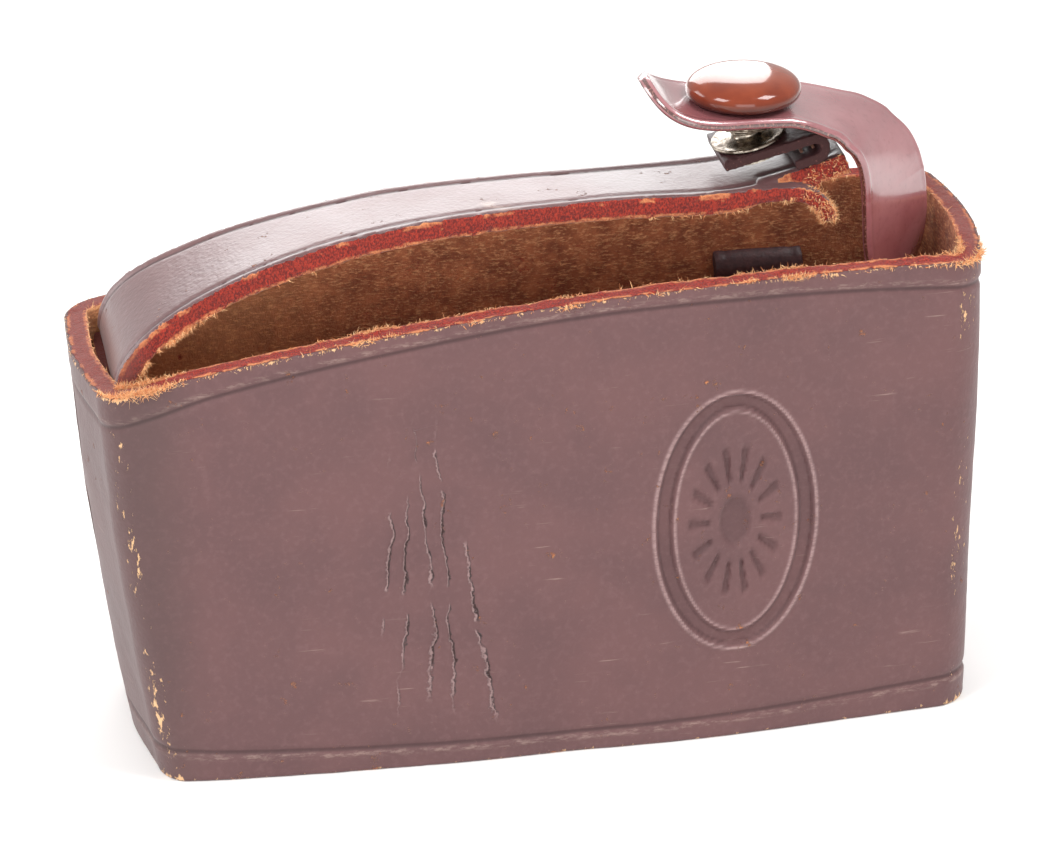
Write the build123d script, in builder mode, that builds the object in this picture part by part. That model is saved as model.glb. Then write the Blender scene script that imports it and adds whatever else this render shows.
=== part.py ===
"""Leather carrying case of a hand-held selenium light meter, millimetres, +Z up.

The case stands on its long edge: X runs along its length, Y through its depth and the
front wall faces -Y.  The origin lies on the resting face, in the middle of the case.
A stiff leather loop (the sleeve) is open above and below; an inner tray closes the bottom
and carries the meter, a cover flap arches over the top from the left end, and a strap
with a press stud comes up out of the right end and holds the flap down.
"""
import os
from math import cos, radians, sin

from build123d import *

os.makedirs("parts", exist_ok=True)

# ---------------------------------------------------------------- driving dimensions
LEATHER = 3.0            # thick vegetable-tanned leather of the sleeve, tray and flap
STRAP_LEATHER = 1.4      # thin leather of the strap and the stud tab
FIT = 0.15               # gap between the sleeve and the tray that is glued into it

HALF_DEPTH = 16.0        # outside of the front wall, at its corners
RIGHT_X = 56.5           # outside of the right end, at its corners
CORNER_R = 3.6           # outside corner radius of the sleeve

# height, left end's x, bow of the long walls, bulge of the left end, bulge of the right end
SLEEVE_SECTIONS = (
    (0.0, -57.8, 2.8, 0.3, 1.6),
    (28.0, -61.4, 2.2, 0.5, 2.2),
    (76.0, -63.4, 0.6, 0.3, 2.6),
)
EDGE_START_X = -62.0     # where the arched top edge starts, at the left
FRONT_TOP_LEFT, FRONT_TOP_RIGHT, TOP_ARCH = 57.4, 66.6, 3.5
BACK_TOP_LEFT, BACK_TOP_RIGHT = 57.8, 69.0
OUTSIDE = 30.0           # a distance that is outside the case in every direction across it

SLOT_Y, SLOT_WIDTH, SLOT_LENGTH = 3.0, 5.2, 10.4
SLOT_CENTRES_Z = (31.6, 45.6)

FLAP_HINGE_Z = 55.2      # height where the flap bends at the left end
HINGE_GAP = 0.25         # half of the gap between two leather pieces at a bend

FLAP_HALF_WIDTH = 12.0
SHOULDER_Y, TONGUE_HALF_WIDTH = 7.0, 5.2
SHOULDER_LEATHER = 2.2
TONGUE_END_X = 40.2
# x and z along the flap's outer side, and along the top of the lips beside its tongue
FLAP_LINE = (
    (-59.1, FLAP_HINGE_Z + HINGE_GAP), (-58.6, 59.0), (-56.2, 62.5), (-50.5, 66.4), (-41.0, 70.3),
    (-29.0, 73.4), (-15.0, 75.3), (0.0, 75.9), (14.0, 75.9), (25.0, 76.0), (33.0, 77.5),
    (TONGUE_END_X, 79.7),
)
LIP_LINE = ((22.0, 75.9), (26.5, 76.1), (31.0, 76.2), (35.4, 75.5), (38.2, 73.2), (39.0, 70.6))
# x and half width of the flap seen from above, narrowing from its bend to its shoulders
FLAP_PLAN = ((-57.0, FLAP_HALF_WIDTH), (-48.0, 10.0), (-30.0, 8.6), (-8.0, 7.5), (8.0, SHOULDER_Y))
SHOULDER_START_X, TONGUE_START_X = 27.0, 29.0

TAB_HALF_WIDTH = 5.5
TAB_START, TAB_FOLD_START = (23.6, 79.75), (35.6, 82.74)
TAB_FOLD_R, TAB_FOLD_ANGLE, TAB_FOOT_LENGTH = 2.1, 177.0, 3.2
TAB_STITCHES = ((34.7, 79.65), (36.3, 80.15))
TAB_STITCH_SIZE, TAB_STITCH_HALF_WIDTH, TAB_STITCH_ANGLE = 0.6, 3.5, 17.0

TRAY_RIGHT_X, TRAY_LEG_TOP = 53.3, 47.0
# x and z on the inner side of the tray's leaning left leg
TRAY_LEFT_FOOT, TRAY_LEFT_MIDDLE, TRAY_LEFT_TOP_X = (-51.7, LEATHER), (-55.3, 28.0), -56.3

STRAP_WIDTH = 16.0
ROOT_X, ROOT_BOTTOM = 49.55, 29.0
SWING_HINGE_Z = 66.2     # height where the strap bends at the sleeve's edge
SWING_GAP = 0.3          # half of the gap between the strap's root and its riser
# x, z, plan angle of the width, lean to the left; the end's last number is its width
ROOT_STATIONS = (
    (ROOT_X, TRAY_LEG_TOP, 90, 0), (49.55, 50, 84, 0.5), (49.45, 54, 73, 1), (49.3, 58, 61, 1.5),
    (49.1, 62, 50, 2), (48.95, SWING_HINGE_Z - SWING_GAP, 45, 2),
)
RISER_STATIONS = (
    (48.93, SWING_HINGE_Z + SWING_GAP, 45, 2), (48.75, 69.5, 45, 4), (48.45, 72.5, 46, 7),
    (47.9, 75.3, 49, 13), (46.9, 77.9, 53, 22), (45.3, 80.0, 58, 32),
)
END_STATIONS = (
    (44.3, 81.0, 58, 56, 16), (43.1, 81.95, 62, 58, 16), (41.6, 82.85, 66, 62, 16),
    (39.9, 83.65, 71, 66, 16), (38.1, 84.4, 76, 70, 16), (36.2, 85.05, 81, 74, 16),
    (34.4, 85.6, 86, 81, 16), (33.5, 85.7, 90, 90, 16), (20.2, 85.7, 90, 90, 16),
    (18.4, 86.05, 90, 76, 15.8), (16.8, 86.75, 90, 62, 15), (15.3, 87.9, 90, 50, 13.4),
    (14.1, 89.4, 90, 41, 10.6), (13.2, 91.0, 90, 33, 6),
)

STUD_X, STUD_Z, STUD_TILT = 28.2, 80.9, 14.0
STUD_FLANGE_R, STUD_WAIST_R, STUD_HEAD_R = 5.6, 1.9, 2.2
STUD_FLANGE_TOP, STUD_WAIST_TOP, STUD_TOP = 0.7, 1.9, 2.9
STUD_NORMAL = (-sin(radians(STUD_TILT)), 0, cos(radians(STUD_TILT)))
STUD_PLANE = Plane((STUD_X, 0, STUD_Z + 0.03), x_dir=(0, 1, 0), z_dir=STUD_NORMAL)
EYELET_TUBE_R, EYELET_TUBE_WALL, EYELET_TUBE_LENGTH = 1.2, 0.4, STRAP_LEATHER + 2.6
EYELET_FLANGE_R, EYELET_FLANGE_THICKNESS, EYELET_DROP = 4.2, 0.5, STRAP_LEATHER + 0.72
SNAP_X, STRAP_TOP_Z = 27.4, 86.44
CAP_R, CAP_HEIGHT, CAP_POST_R, CAP_POST_Z = 7.7, 4.0, 1.6, 84.5
CAP_FOOT_INSET, CAP_SHOULDER_INSET = 1.2, 1.3
CAP_SIDE_HEIGHT, CAP_SHOULDER_HEIGHT = 1.5, 2.9
SOCKET_R, SOCKET_BORE_R, SOCKET_Z, SOCKET_BORE_DEPTH = 6.0, 3.9, 83.3, 1.35
SOCKET_TOP_Z = STRAP_TOP_Z - STRAP_LEATHER - 0.05
SPRING_WIRE_R, SPRING_RING_R, SPRING_ARC = 0.35, SOCKET_BORE_R - 0.36, 320

LOOP_X, LOOP_WIDTH, LOOP_LEATHER = 33.0, 12.6, 1.8
LOOP_Y, LOOP_UPPER_END_Y, LOOP_LOWER_END_Y = 23.0, 12.6, 13.1
LOOP_END_LENGTH, LOOP_BEND_R = 13.0, 2.4
LOOP_SLOTS_Z = (13.0, 58.0)
LOOP_RIVETS_Z = (22.5, 48.5)
LOOP_SLOT_HEIGHT = 4.6
STRAP_RIVETS_Z = (34.0, 41.5)
RIVET_SHANK_R, RIVET_HEAD_R, RIVET_HEAD_THICKNESS = 1.2, 3.0, 0.7
RIVET_START_X = ROOT_X - STRAP_LEATHER / 2 - 0.72
LOOP_RIVET_SPANS_Y = ((12.2, 17.95), (11.7, 17.25))      # inner and outer head of each rivet

SEAM_X, SEAM_LAP = -34.0, 7.0
SEAM_STITCHES_Z = [6.0 + 4.0 * row for row in range(13)]
SEAM_STITCH_SIZE = (0.8, 0.9, 3.0)


# ---------------------------------------------------------------- shared shapes
def loop_outline(left_x, front_bow, left_bulge, right_bulge, inset=0.0):
    """Closed plan outline of the sleeve: four slightly bowed sides and round corners."""
    front, back = -HALF_DEPTH + inset, HALF_DEPTH - inset
    left, right = left_x + inset, RIGHT_X - inset
    middle = (left + right) / 2
    with BuildSketch() as outline:
        with BuildLine():
            ThreePointArc((left, front), (middle, front - front_bow), (right, front))
            ThreePointArc((right, front), (right + right_bulge, 0), (right, back))
            ThreePointArc((right, back), (middle, back + front_bow), (left, back))
            ThreePointArc((left, back), (left - left_bulge, 0), (left, front))
        make_face()
        fillet(outline.vertices(), radius=max(CORNER_R - inset, 0.6))
    return outline.sketch


def sleeve_volume(inset):
    """Solid that fills the sleeve's outline from z = 0 up, with every side inset."""
    with BuildPart() as volume:
        for height, *section in SLEEVE_SECTIONS:
            with BuildSketch(Plane.XY.offset(height)):
                add(loop_outline(*section, inset))
        loft()
    return volume.part


def edge_height(x, left, right):
    """Height of the sleeve's arched top edge at x."""
    t = (x - EDGE_START_X) / (RIGHT_X - EDGE_START_X)
    return left + (right - left) * t + 4 * TOP_ARCH * t * (1 - t)


def back_surface_y(z):
    """Outside of the back wall near the seam, where it leans in a little as it rises."""
    bow_at_foot, lean = 2.0, 0.0194
    return HALF_DEPTH + bow_at_foot - lean * z


def above_top_edge(left, right):
    """Front view of everything above the arched top edge."""
    x0, x1, high = -70.0, 66.0, 110.0
    start, end = edge_height(x0, left, right), edge_height(x1, left, right)
    with BuildSketch() as region:
        with BuildLine():
            ThreePointArc((x0, start), (0, edge_height(0, left, right)), (x1, end))
            Polyline((x1, end), (x1, high), (x0, high), (x0, start))
        make_face()
    return region.sketch


def ribbon(points, thickness):
    """Front view of a strip: a smooth line along its outer side and a parallel line to its right."""
    steps = 3 * len(points)
    with BuildSketch() as side_view:
        with BuildLine():
            outer = Spline(*points)
            inner_points = [
                outer @ (i / steps) + (outer % (i / steps)).rotate(Axis.Z, -90) * thickness
                for i in range(steps + 1)
            ]
            inner = Spline(*inner_points)
            Line(outer @ 1, inner @ 1)
            Line(outer @ 0, inner @ 0)
        make_face()
    return side_view.sketch


def front_plane(y=0.0):
    """Plane seen from the front: its x is +X, its y is +Z and it extrudes towards -Y."""
    return Plane((0, y, 0), x_dir=(1, 0, 0), z_dir=(0, -1, 0))


def end_plane(x, y=0.0, z=0.0):
    """Plane across the case: its x is +Z and it extrudes towards +X."""
    return Plane((x, y, z), x_dir=(0, 0, 1), z_dir=(1, 0, 0))


def back_plane(y):
    """Plane at the belt loop: its x is +Z and it extrudes towards +Y."""
    return Plane((LOOP_X, y, 0), x_dir=(0, 0, 1), z_dir=(0, 1, 0))


def strap_plane(x, z, turn, pitch):
    """Plane across the strap: `turn` is the plan angle of its width, `pitch` its lean to the left."""
    turn, pitch = radians(turn), radians(pitch)
    along_width = (cos(turn), sin(turn), 0)
    along_strap = (-sin(turn) * sin(pitch), cos(turn) * sin(pitch), cos(pitch))
    return Plane((x, 0, z), x_dir=along_width, z_dir=along_strap)


# ---------------------------------------------------------------- sleeve
cavity = sleeve_volume(LEATHER)

with BuildPart() as seam_stitches:
    for row_x in (SEAM_X - SEAM_LAP / 2, SEAM_X + SEAM_LAP / 2):
        with Locations(*((row_x, back_surface_y(z), z) for z in SEAM_STITCHES_Z)):
            Box(*SEAM_STITCH_SIZE)
    fillet(seam_stitches.edges().filter_by(Axis.Z), radius=0.35)

with BuildPart() as outer_sleeve:
    add(sleeve_volume(0))
    add(cavity, mode=Mode.SUBTRACT)
    with BuildSketch(front_plane(-OUTSIDE)):
        add(above_top_edge(FRONT_TOP_LEFT, FRONT_TOP_RIGHT))
    with BuildSketch(front_plane(OUTSIDE)):
        add(above_top_edge(BACK_TOP_LEFT, BACK_TOP_RIGHT))
    loft(mode=Mode.SUBTRACT)
    with BuildSketch(end_plane(-70, SLOT_Y)):
        with Locations(*((z, 0) for z in SLOT_CENTRES_Z)):
            SlotOverall(SLOT_LENGTH, SLOT_WIDTH)
    extrude(amount=20, mode=Mode.SUBTRACT)
    with BuildSketch(back_plane(10)):
        with Locations(*((z, 0) for z in LOOP_SLOTS_Z)):
            Rectangle(LOOP_SLOT_HEIGHT, LOOP_WIDTH + 1.2)
        with Locations(*((z, 0) for z in LOOP_RIVETS_Z)):
            Circle(RIVET_SHANK_R)
    extrude(amount=14, mode=Mode.SUBTRACT)
    add(seam_stitches.part, mode=Mode.SUBTRACT)

# ---------------------------------------------------------------- inner tray
with BuildPart() as inner_tray:
    with BuildSketch(front_plane()):
        with BuildLine():
            Polyline((-70, 0), (TRAY_RIGHT_X, 0), (TRAY_RIGHT_X, TRAY_LEG_TOP))
            Line((TRAY_RIGHT_X, TRAY_LEG_TOP), (TRAY_RIGHT_X - LEATHER, TRAY_LEG_TOP))
            Polyline(
                (TRAY_RIGHT_X - LEATHER, TRAY_LEG_TOP),
                (TRAY_RIGHT_X - LEATHER, LEATHER),
                TRAY_LEFT_FOOT,
            )
            ThreePointArc(TRAY_LEFT_FOOT, TRAY_LEFT_MIDDLE, (TRAY_LEFT_TOP_X, FLAP_HINGE_Z - HINGE_GAP))
            Polyline(
                (TRAY_LEFT_TOP_X, FLAP_HINGE_Z - HINGE_GAP),
                (-70, FLAP_HINGE_Z - HINGE_GAP),
                (-70, 0),
            )
        make_face()
    extrude(amount=OUTSIDE, both=True)
    add(sleeve_volume(LEATHER + FIT), mode=Mode.INTERSECT)
    with BuildSketch(end_plane(-70, SLOT_Y)):
        with Locations(*((z, 0) for z in SLOT_CENTRES_Z)):
            SlotOverall(SLOT_LENGTH, SLOT_WIDTH)
    extrude(amount=24, mode=Mode.SUBTRACT)
    with BuildSketch(end_plane(45)):
        with Locations(*((z, 0) for z in STRAP_RIVETS_Z)):
            Circle(RIVET_SHANK_R)
    extrude(amount=14, mode=Mode.SUBTRACT)

# ---------------------------------------------------------------- cover flap
with BuildPart() as cover_flap:
    with BuildSketch(front_plane()):
        add(ribbon(FLAP_LINE, LEATHER))
    extrude(amount=FLAP_HALF_WIDTH, both=True)
    with BuildSketch(Plane.XY.offset(50)):
        with BuildLine() as half_plan:
            Polyline((-70, 0), (-70, FLAP_HALF_WIDTH), FLAP_PLAN[0])
            Spline(*FLAP_PLAN, (SHOULDER_START_X, SHOULDER_Y))
            Polyline(
                (SHOULDER_START_X, SHOULDER_Y),
                (TONGUE_START_X, TONGUE_HALF_WIDTH),
                (TONGUE_END_X + 5, TONGUE_HALF_WIDTH),
            )
            Polyline((TONGUE_END_X + 5, TONGUE_HALF_WIDTH), (TONGUE_END_X + 5, 0), (-70, 0))
        make_face()
        mirror(about=Plane.XZ)
    extrude(amount=40, mode=Mode.INTERSECT)
    for side in (-1, 1):
        with BuildSketch(front_plane(side * (SHOULDER_Y + TONGUE_HALF_WIDTH) / 2)):
            add(ribbon(LIP_LINE, SHOULDER_LEATHER))
        extrude(amount=(SHOULDER_Y - TONGUE_HALF_WIDTH) / 2, both=True)

with BuildPart() as tab_stitches:
    with BuildSketch(front_plane()):
        with Locations(*TAB_STITCHES):
            Rectangle(TAB_STITCH_SIZE, TAB_STITCH_SIZE, rotation=TAB_STITCH_ANGLE)
    extrude(amount=TAB_STITCH_HALF_WIDTH, both=True)

with BuildPart() as stud_tab:
    with BuildSketch(front_plane()):
        with BuildLine():
            slope = Line(TAB_START, TAB_FOLD_START)
            fold = JernArc(slope @ 1, slope % 1, radius=TAB_FOLD_R, arc_size=-TAB_FOLD_ANGLE)
            Line(fold @ 1, fold @ 1 + (fold % 1) * TAB_FOOT_LENGTH)
            offset(amount=STRAP_LEATHER, side=Side.RIGHT, closed=True)
        make_face()
    extrude(amount=TAB_HALF_WIDTH, both=True)
    with BuildSketch(STUD_PLANE.offset(-3)):
        Circle(EYELET_TUBE_R)
    extrude(amount=4, mode=Mode.SUBTRACT)
    add(tab_stitches.part, mode=Mode.SUBTRACT)

# ---------------------------------------------------------------- press stud on the tab
with BuildPart() as snap_stud:
    with BuildSketch(STUD_PLANE):
        Circle(STUD_FLANGE_R)
    extrude(amount=STUD_FLANGE_TOP)
    with BuildSketch(STUD_PLANE.offset(STUD_FLANGE_TOP)):
        Circle(STUD_WAIST_R)
    extrude(amount=STUD_WAIST_TOP - STUD_FLANGE_TOP)
    with BuildSketch(STUD_PLANE.offset(STUD_WAIST_TOP)):
        Circle(STUD_HEAD_R)
    extrude(amount=STUD_TOP - STUD_WAIST_TOP)
    chamfer(snap_stud.edges().filter_by(GeomType.CIRCLE).group_by(SortBy.RADIUS)[-1], length=0.2)
    with BuildSketch(STUD_PLANE):
        Circle(EYELET_TUBE_R)
    extrude(amount=2.0, mode=Mode.SUBTRACT)

with BuildPart() as stud_eyelet:
    with BuildSketch(STUD_PLANE.offset(-EYELET_DROP)):
        Circle(EYELET_FLANGE_R)
    extrude(amount=EYELET_FLANGE_THICKNESS)
    with BuildSketch(STUD_PLANE.offset(-EYELET_DROP)):
        Circle(EYELET_TUBE_R)
        Circle(EYELET_TUBE_R - EYELET_TUBE_WALL, mode=Mode.SUBTRACT)
    extrude(amount=EYELET_TUBE_LENGTH)

# ---------------------------------------------------------------- strap
with BuildPart() as strap_root:
    with BuildSketch(strap_plane(ROOT_X, ROOT_BOTTOM, 90, 0)):
        Rectangle(STRAP_WIDTH, STRAP_LEATHER)
    extrude(amount=TRAY_LEG_TOP - ROOT_BOTTOM)
    for station in ROOT_STATIONS:
        with BuildSketch(strap_plane(*station)):
            Rectangle(STRAP_WIDTH, STRAP_LEATHER)
    loft(ruled=True)
    with BuildSketch(end_plane(45)):
        with Locations(*((z, 0) for z in STRAP_RIVETS_Z)):
            Circle(RIVET_SHANK_R)
    extrude(amount=14, mode=Mode.SUBTRACT)

with BuildPart() as strap_riser:
    for station in RISER_STATIONS:
        with BuildSketch(strap_plane(*station)):
            Rectangle(STRAP_WIDTH, STRAP_LEATHER)
    loft(ruled=True)

with BuildPart() as strap_end:
    for *station, width in END_STATIONS:
        with BuildSketch(strap_plane(*station)):
            Rectangle(width, STRAP_LEATHER)
    loft(ruled=True)
    with BuildSketch(Plane.XY.offset(80)):
        with Locations((SNAP_X, 0)):
            Circle(CAP_POST_R)
    extrude(amount=10, mode=Mode.SUBTRACT)

# ---------------------------------------------------------------- snap on the strap
cap_foot = (SNAP_X + CAP_R - CAP_FOOT_INSET, STRAP_TOP_Z)
cap_shoulder = (SNAP_X + CAP_R - CAP_SHOULDER_INSET, STRAP_TOP_Z + CAP_SHOULDER_HEIGHT)
cap_top = (SNAP_X, STRAP_TOP_Z + CAP_HEIGHT)
with BuildPart() as snap_cap:
    with BuildSketch(front_plane()):
        with BuildLine():
            Polyline(
                (SNAP_X, CAP_POST_Z), (SNAP_X + CAP_POST_R, CAP_POST_Z), (SNAP_X + CAP_POST_R, STRAP_TOP_Z),
                cap_foot,
            )
            ThreePointArc(cap_foot, (SNAP_X + CAP_R, STRAP_TOP_Z + CAP_SIDE_HEIGHT), cap_shoulder)
            TangentArc(cap_top, cap_shoulder, tangent=(1, 0))
            Line(cap_top, (SNAP_X, CAP_POST_Z))
        make_face()
    revolve(axis=Axis((SNAP_X, 0, 0), (0, 0, 1)))

with BuildPart() as snap_socket:
    with BuildSketch(Plane.XY.offset(SOCKET_Z)):
        with Locations((SNAP_X, 0)):
            Circle(SOCKET_R)
    extrude(amount=SOCKET_TOP_Z - SOCKET_Z)
    fillet(snap_socket.edges().group_by(Axis.Z)[0], radius=0.4)
    with BuildSketch(Plane.XY.offset(SOCKET_Z)):
        with Locations((SNAP_X, 0)):
            Circle(SOCKET_BORE_R)
    extrude(amount=SOCKET_BORE_DEPTH, mode=Mode.SUBTRACT)
    with BuildSketch(Plane.XY.offset(SOCKET_Z)):
        with Locations((SNAP_X, 0)):
            Circle(CAP_POST_R)
    extrude(amount=4, mode=Mode.SUBTRACT)

with BuildPart() as snap_spring:
    with BuildSketch(front_plane()):
        with Locations((SNAP_X + SPRING_RING_R, SOCKET_Z + 2 * SPRING_WIRE_R)):
            Circle(SPRING_WIRE_R)
    revolve(axis=Axis((SNAP_X, 0, 0), (0, 0, 1)), revolution_arc=SPRING_ARC)

# ---------------------------------------------------------------- belt loop
loop_bottom, loop_top = LOOP_SLOTS_Z
with BuildPart() as belt_loop:
    with BuildSketch(Plane((LOOP_X, 0, 0), x_dir=(0, 1, 0), z_dir=(1, 0, 0))):
        with BuildLine():
            FilletPolyline(
                (LOOP_UPPER_END_Y, loop_top - LOOP_END_LENGTH), (LOOP_UPPER_END_Y, loop_top),
                (LOOP_Y, loop_top), (LOOP_Y, loop_bottom),
                (LOOP_LOWER_END_Y, loop_bottom), (LOOP_LOWER_END_Y, loop_bottom + LOOP_END_LENGTH),
                radius=LOOP_BEND_R,
            )
            offset(amount=LOOP_LEATHER / 2, side=Side.BOTH, closed=True, mode=Mode.REPLACE)
        make_face()
    extrude(amount=LOOP_WIDTH / 2, both=True)
    with BuildSketch(back_plane(10)):
        with Locations(*((z, 0) for z in LOOP_RIVETS_Z)):
            Circle(RIVET_SHANK_R)
    extrude(amount=8, mode=Mode.SUBTRACT)

# ---------------------------------------------------------------- rivets
with BuildPart() as strap_rivets:
    for rivet_z in STRAP_RIVETS_Z:
        with BuildSketch(end_plane(RIVET_START_X, 0, rivet_z)):
            Circle(RIVET_HEAD_R)
        extrude(amount=RIVET_HEAD_THICKNESS)
        with BuildSketch(end_plane(RIVET_START_X, 0, rivet_z)):
            Circle(RIVET_SHANK_R)
        extrude(amount=TRAY_RIGHT_X + RIVET_HEAD_THICKNESS - RIVET_START_X)
        with BuildSketch(end_plane(TRAY_RIGHT_X, 0, rivet_z)):
            Circle(RIVET_HEAD_R)
        extrude(amount=RIVET_HEAD_THICKNESS)

with BuildPart() as belt_loop_rivets:
    for rivet_z, (inner_y, outer_y) in zip(LOOP_RIVETS_Z, LOOP_RIVET_SPANS_Y):
        with BuildSketch(back_plane(inner_y)):
            with Locations((rivet_z, 0)):
                Circle(RIVET_SHANK_R)
        extrude(amount=outer_y + RIVET_HEAD_THICKNESS - inner_y)
        with BuildSketch(back_plane(inner_y - RIVET_HEAD_THICKNESS)):
            with Locations((rivet_z, 0)):
                Circle(RIVET_HEAD_R)
        extrude(amount=RIVET_HEAD_THICKNESS)
        with BuildSketch(back_plane(outer_y)):
            with Locations((rivet_z, 0)):
                Circle(RIVET_HEAD_R)
        extrude(amount=RIVET_HEAD_THICKNESS)

# ---------------------------------------------------------------- labels and files
PIECES = {
    "outer_sleeve": outer_sleeve, "seam_stitches": seam_stitches, "inner_tray": inner_tray,
    "cover_flap": cover_flap, "stud_tab": stud_tab, "tab_stitches": tab_stitches,
    "snap_stud": snap_stud, "stud_eyelet": stud_eyelet, "strap_root": strap_root,
    "strap_riser": strap_riser, "strap_end": strap_end, "snap_cap": snap_cap,
    "snap_socket": snap_socket, "snap_spring": snap_spring, "belt_loop": belt_loop,
    "strap_rivets": strap_rivets, "belt_loop_rivets": belt_loop_rivets,
}
for piece_name, piece in PIECES.items():
    piece.part.label = piece_name
    export_step(piece.part, f"parts/{piece_name}.step")
    print(piece_name, len(piece.part.solids()), round(piece.part.volume, 1), piece.part.is_valid)
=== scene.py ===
"""Looks of the worn oxblood leather case of a light meter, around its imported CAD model.

Sizes are in millimetres until a mesh is made; MM turns them into metres.  Every soft piece keeps
its resting place in a "rest" attribute, so that its grain stays put when a joint moves it, and a
"depth" attribute: how deep a point lies below the leather's grain side.
"""

import itertools
from math import cos, pi, radians, sin

import bpy
import numpy as np
from mathutils import Matrix, Vector


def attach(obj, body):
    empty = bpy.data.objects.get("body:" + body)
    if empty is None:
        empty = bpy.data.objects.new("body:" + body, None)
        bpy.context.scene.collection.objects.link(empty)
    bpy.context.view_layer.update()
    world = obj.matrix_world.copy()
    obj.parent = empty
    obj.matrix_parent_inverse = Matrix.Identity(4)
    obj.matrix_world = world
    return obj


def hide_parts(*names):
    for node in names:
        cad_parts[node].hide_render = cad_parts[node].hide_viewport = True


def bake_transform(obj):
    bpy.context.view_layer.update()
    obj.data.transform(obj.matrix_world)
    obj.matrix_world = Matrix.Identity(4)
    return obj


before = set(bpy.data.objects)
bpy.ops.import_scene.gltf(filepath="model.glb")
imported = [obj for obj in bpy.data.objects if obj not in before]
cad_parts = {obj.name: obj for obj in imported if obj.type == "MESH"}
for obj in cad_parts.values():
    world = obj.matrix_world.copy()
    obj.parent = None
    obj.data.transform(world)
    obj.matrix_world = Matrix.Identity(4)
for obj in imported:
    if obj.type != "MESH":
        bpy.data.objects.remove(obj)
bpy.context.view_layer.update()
scene = bpy.context.scene
MM = 0.001

# ---------------------------------------------------------------- sizes shared with the CAD
LEATHER = 3.0
HALF_DEPTH = 16.0
RIGHT_X = 56.5
CORNER_R = 3.6
EDGE_START_X, EDGE_LENGTH, TOP_ARCH = -62.0, 118.5, 3.5
FRONT_TOP, BACK_TOP = (57.4, 66.6), (57.8, 69.0)
# the sleeve's outline is given at three heights, and parabolas join them
OUTLINE_HEIGHTS = (0.0, 28.0, 76.0)
OUTLINE_LEFT_X = (-57.8, -61.4, -63.4)
OUTLINE_BOW = (2.8, 2.2, 0.6)
OUTLINE_LEFT_BULGE = (0.3, 0.5, 0.3)
OUTLINE_RIGHT_BULGE = (1.6, 2.2, 2.6)
SLOT_Y, SLOT_WIDTH, SLOT_LENGTH = 3.0, 5.2, 10.4
SLOT_CENTRES_Z = (31.6, 45.6)
LOOP_X, LOOP_WIDTH, LOOP_SLOTS_Z, LOOP_SLOT_HEIGHT = 33.0, 12.6, (13.0, 58.0), 4.6
SEAM_X, SEAM_LAP = -34.0, 7.0
STITCH_ROWS_Z = [6.0 + 4.0 * row for row in range(13)]
SEAM_BULGE, SEAM_BULGE_LOSS, SEAM_TOP_Z = 2.0, 1.05, 54
STRAP_LEATHER = 1.4
SNAP_X, STRAP_TOP_Z, SOCKET_Z = 27.4, 86.44, 83.3
STUD_BASE, STUD_TILT = (28.2, 0.0, 80.93), radians(14.0)


# ---------------------------------------------------------------- noise
def lattice_noise(points, seed):
    """Smooth noise from -1 to 1 at an (n, 3) array of points, with one bump for each unit."""
    cell = np.floor(points).astype(np.int64)
    part = points - cell
    part = part * part * (3 - 2 * part)
    total = np.zeros(len(points))
    for corner in itertools.product((0, 1), repeat=3):
        x, y, z = (cell + corner).T
        mixed = (x * 374761393 + y * 668265263 + z * 1274126177 + seed * 974634721) & 0xFFFFFFFF
        mixed = ((mixed ^ (mixed >> 13)) * 1103515245) & 0xFFFFFFFF
        value = ((mixed ^ (mixed >> 16)) & 0xFFFF) / 32767.5 - 1
        total += value * np.prod(np.where(corner, part, 1 - part), axis=1)
    return total


def fractal(points, size, seed, octaves=3):
    """Noise of the given size with finer and weaker octaves on it."""
    total = np.zeros(len(points))
    for octave in range(octaves):
        total += lattice_noise(points / size * 2**octave, seed + octave) / 2**octave
    return total


def bell(distance, width):
    """1 at distance 0, falling off over the width."""
    return np.exp(-((distance / width) ** 2))


def unit(vectors):
    """The rows of an (n, 3) or (n, 2, m) array, made one unit long."""
    return vectors / np.linalg.norm(vectors, axis=1, keepdims=True)


def length_so_far(rows):
    """Length of a line from its start to each row, whose first two numbers are a place."""
    return np.concatenate([[0], np.cumsum(np.linalg.norm(np.diff(rows[:, :2], axis=0), axis=1))])


def smooth_step(value, low, high):
    """0 up to low, 1 from high on, and smooth between; low may be the larger one."""
    part = np.clip((value - low) / (high - low), 0, 1)
    return part * part * (3 - 2 * part)


# ---------------------------------------------------------------- meshes
def new_piece(name, points, faces):
    """Mesh object from points in millimetres."""
    mesh = bpy.data.meshes.new(name)
    mesh.from_pydata((np.asarray(points) * MM).tolist(), [], faces)
    mesh.update()
    piece = bpy.data.objects.new(name, mesh)
    scene.collection.objects.link(piece)
    return piece


def joined(name, parts):
    """One object from several pairs of points and faces."""
    points, faces = [], []
    for part_points, part_faces in parts:
        faces += [tuple(index + len(points) for index in face) for face in part_faces]
        points += list(part_points)
    return new_piece(name, points, faces)


def baked(piece, name):
    """New object with the piece's modifiers applied; the old one is removed."""
    depsgraph = bpy.context.evaluated_depsgraph_get()
    mesh = bpy.data.meshes.new_from_object(piece.evaluated_get(depsgraph))
    bpy.data.objects.remove(piece)
    mesh.name = name
    result = bpy.data.objects.new(name, mesh)
    scene.collection.objects.link(result)
    return result


def softened_copy(node, name, voxel, smoothing=2):
    """Even, finely divided copy of a CAD node, with its hard corners slightly rounded."""
    piece = bpy.data.objects.new(name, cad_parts[node].data.copy())
    scene.collection.objects.link(piece)
    piece.data.materials.clear()
    remesh = piece.modifiers.new("Remesh", "REMESH")
    remesh.mode = "VOXEL"
    remesh.voxel_size = voxel * MM
    smooth = piece.modifiers.new("Smooth", "SMOOTH")
    smooth.factor = 0.5
    smooth.iterations = smoothing
    return baked(piece, name)


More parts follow.
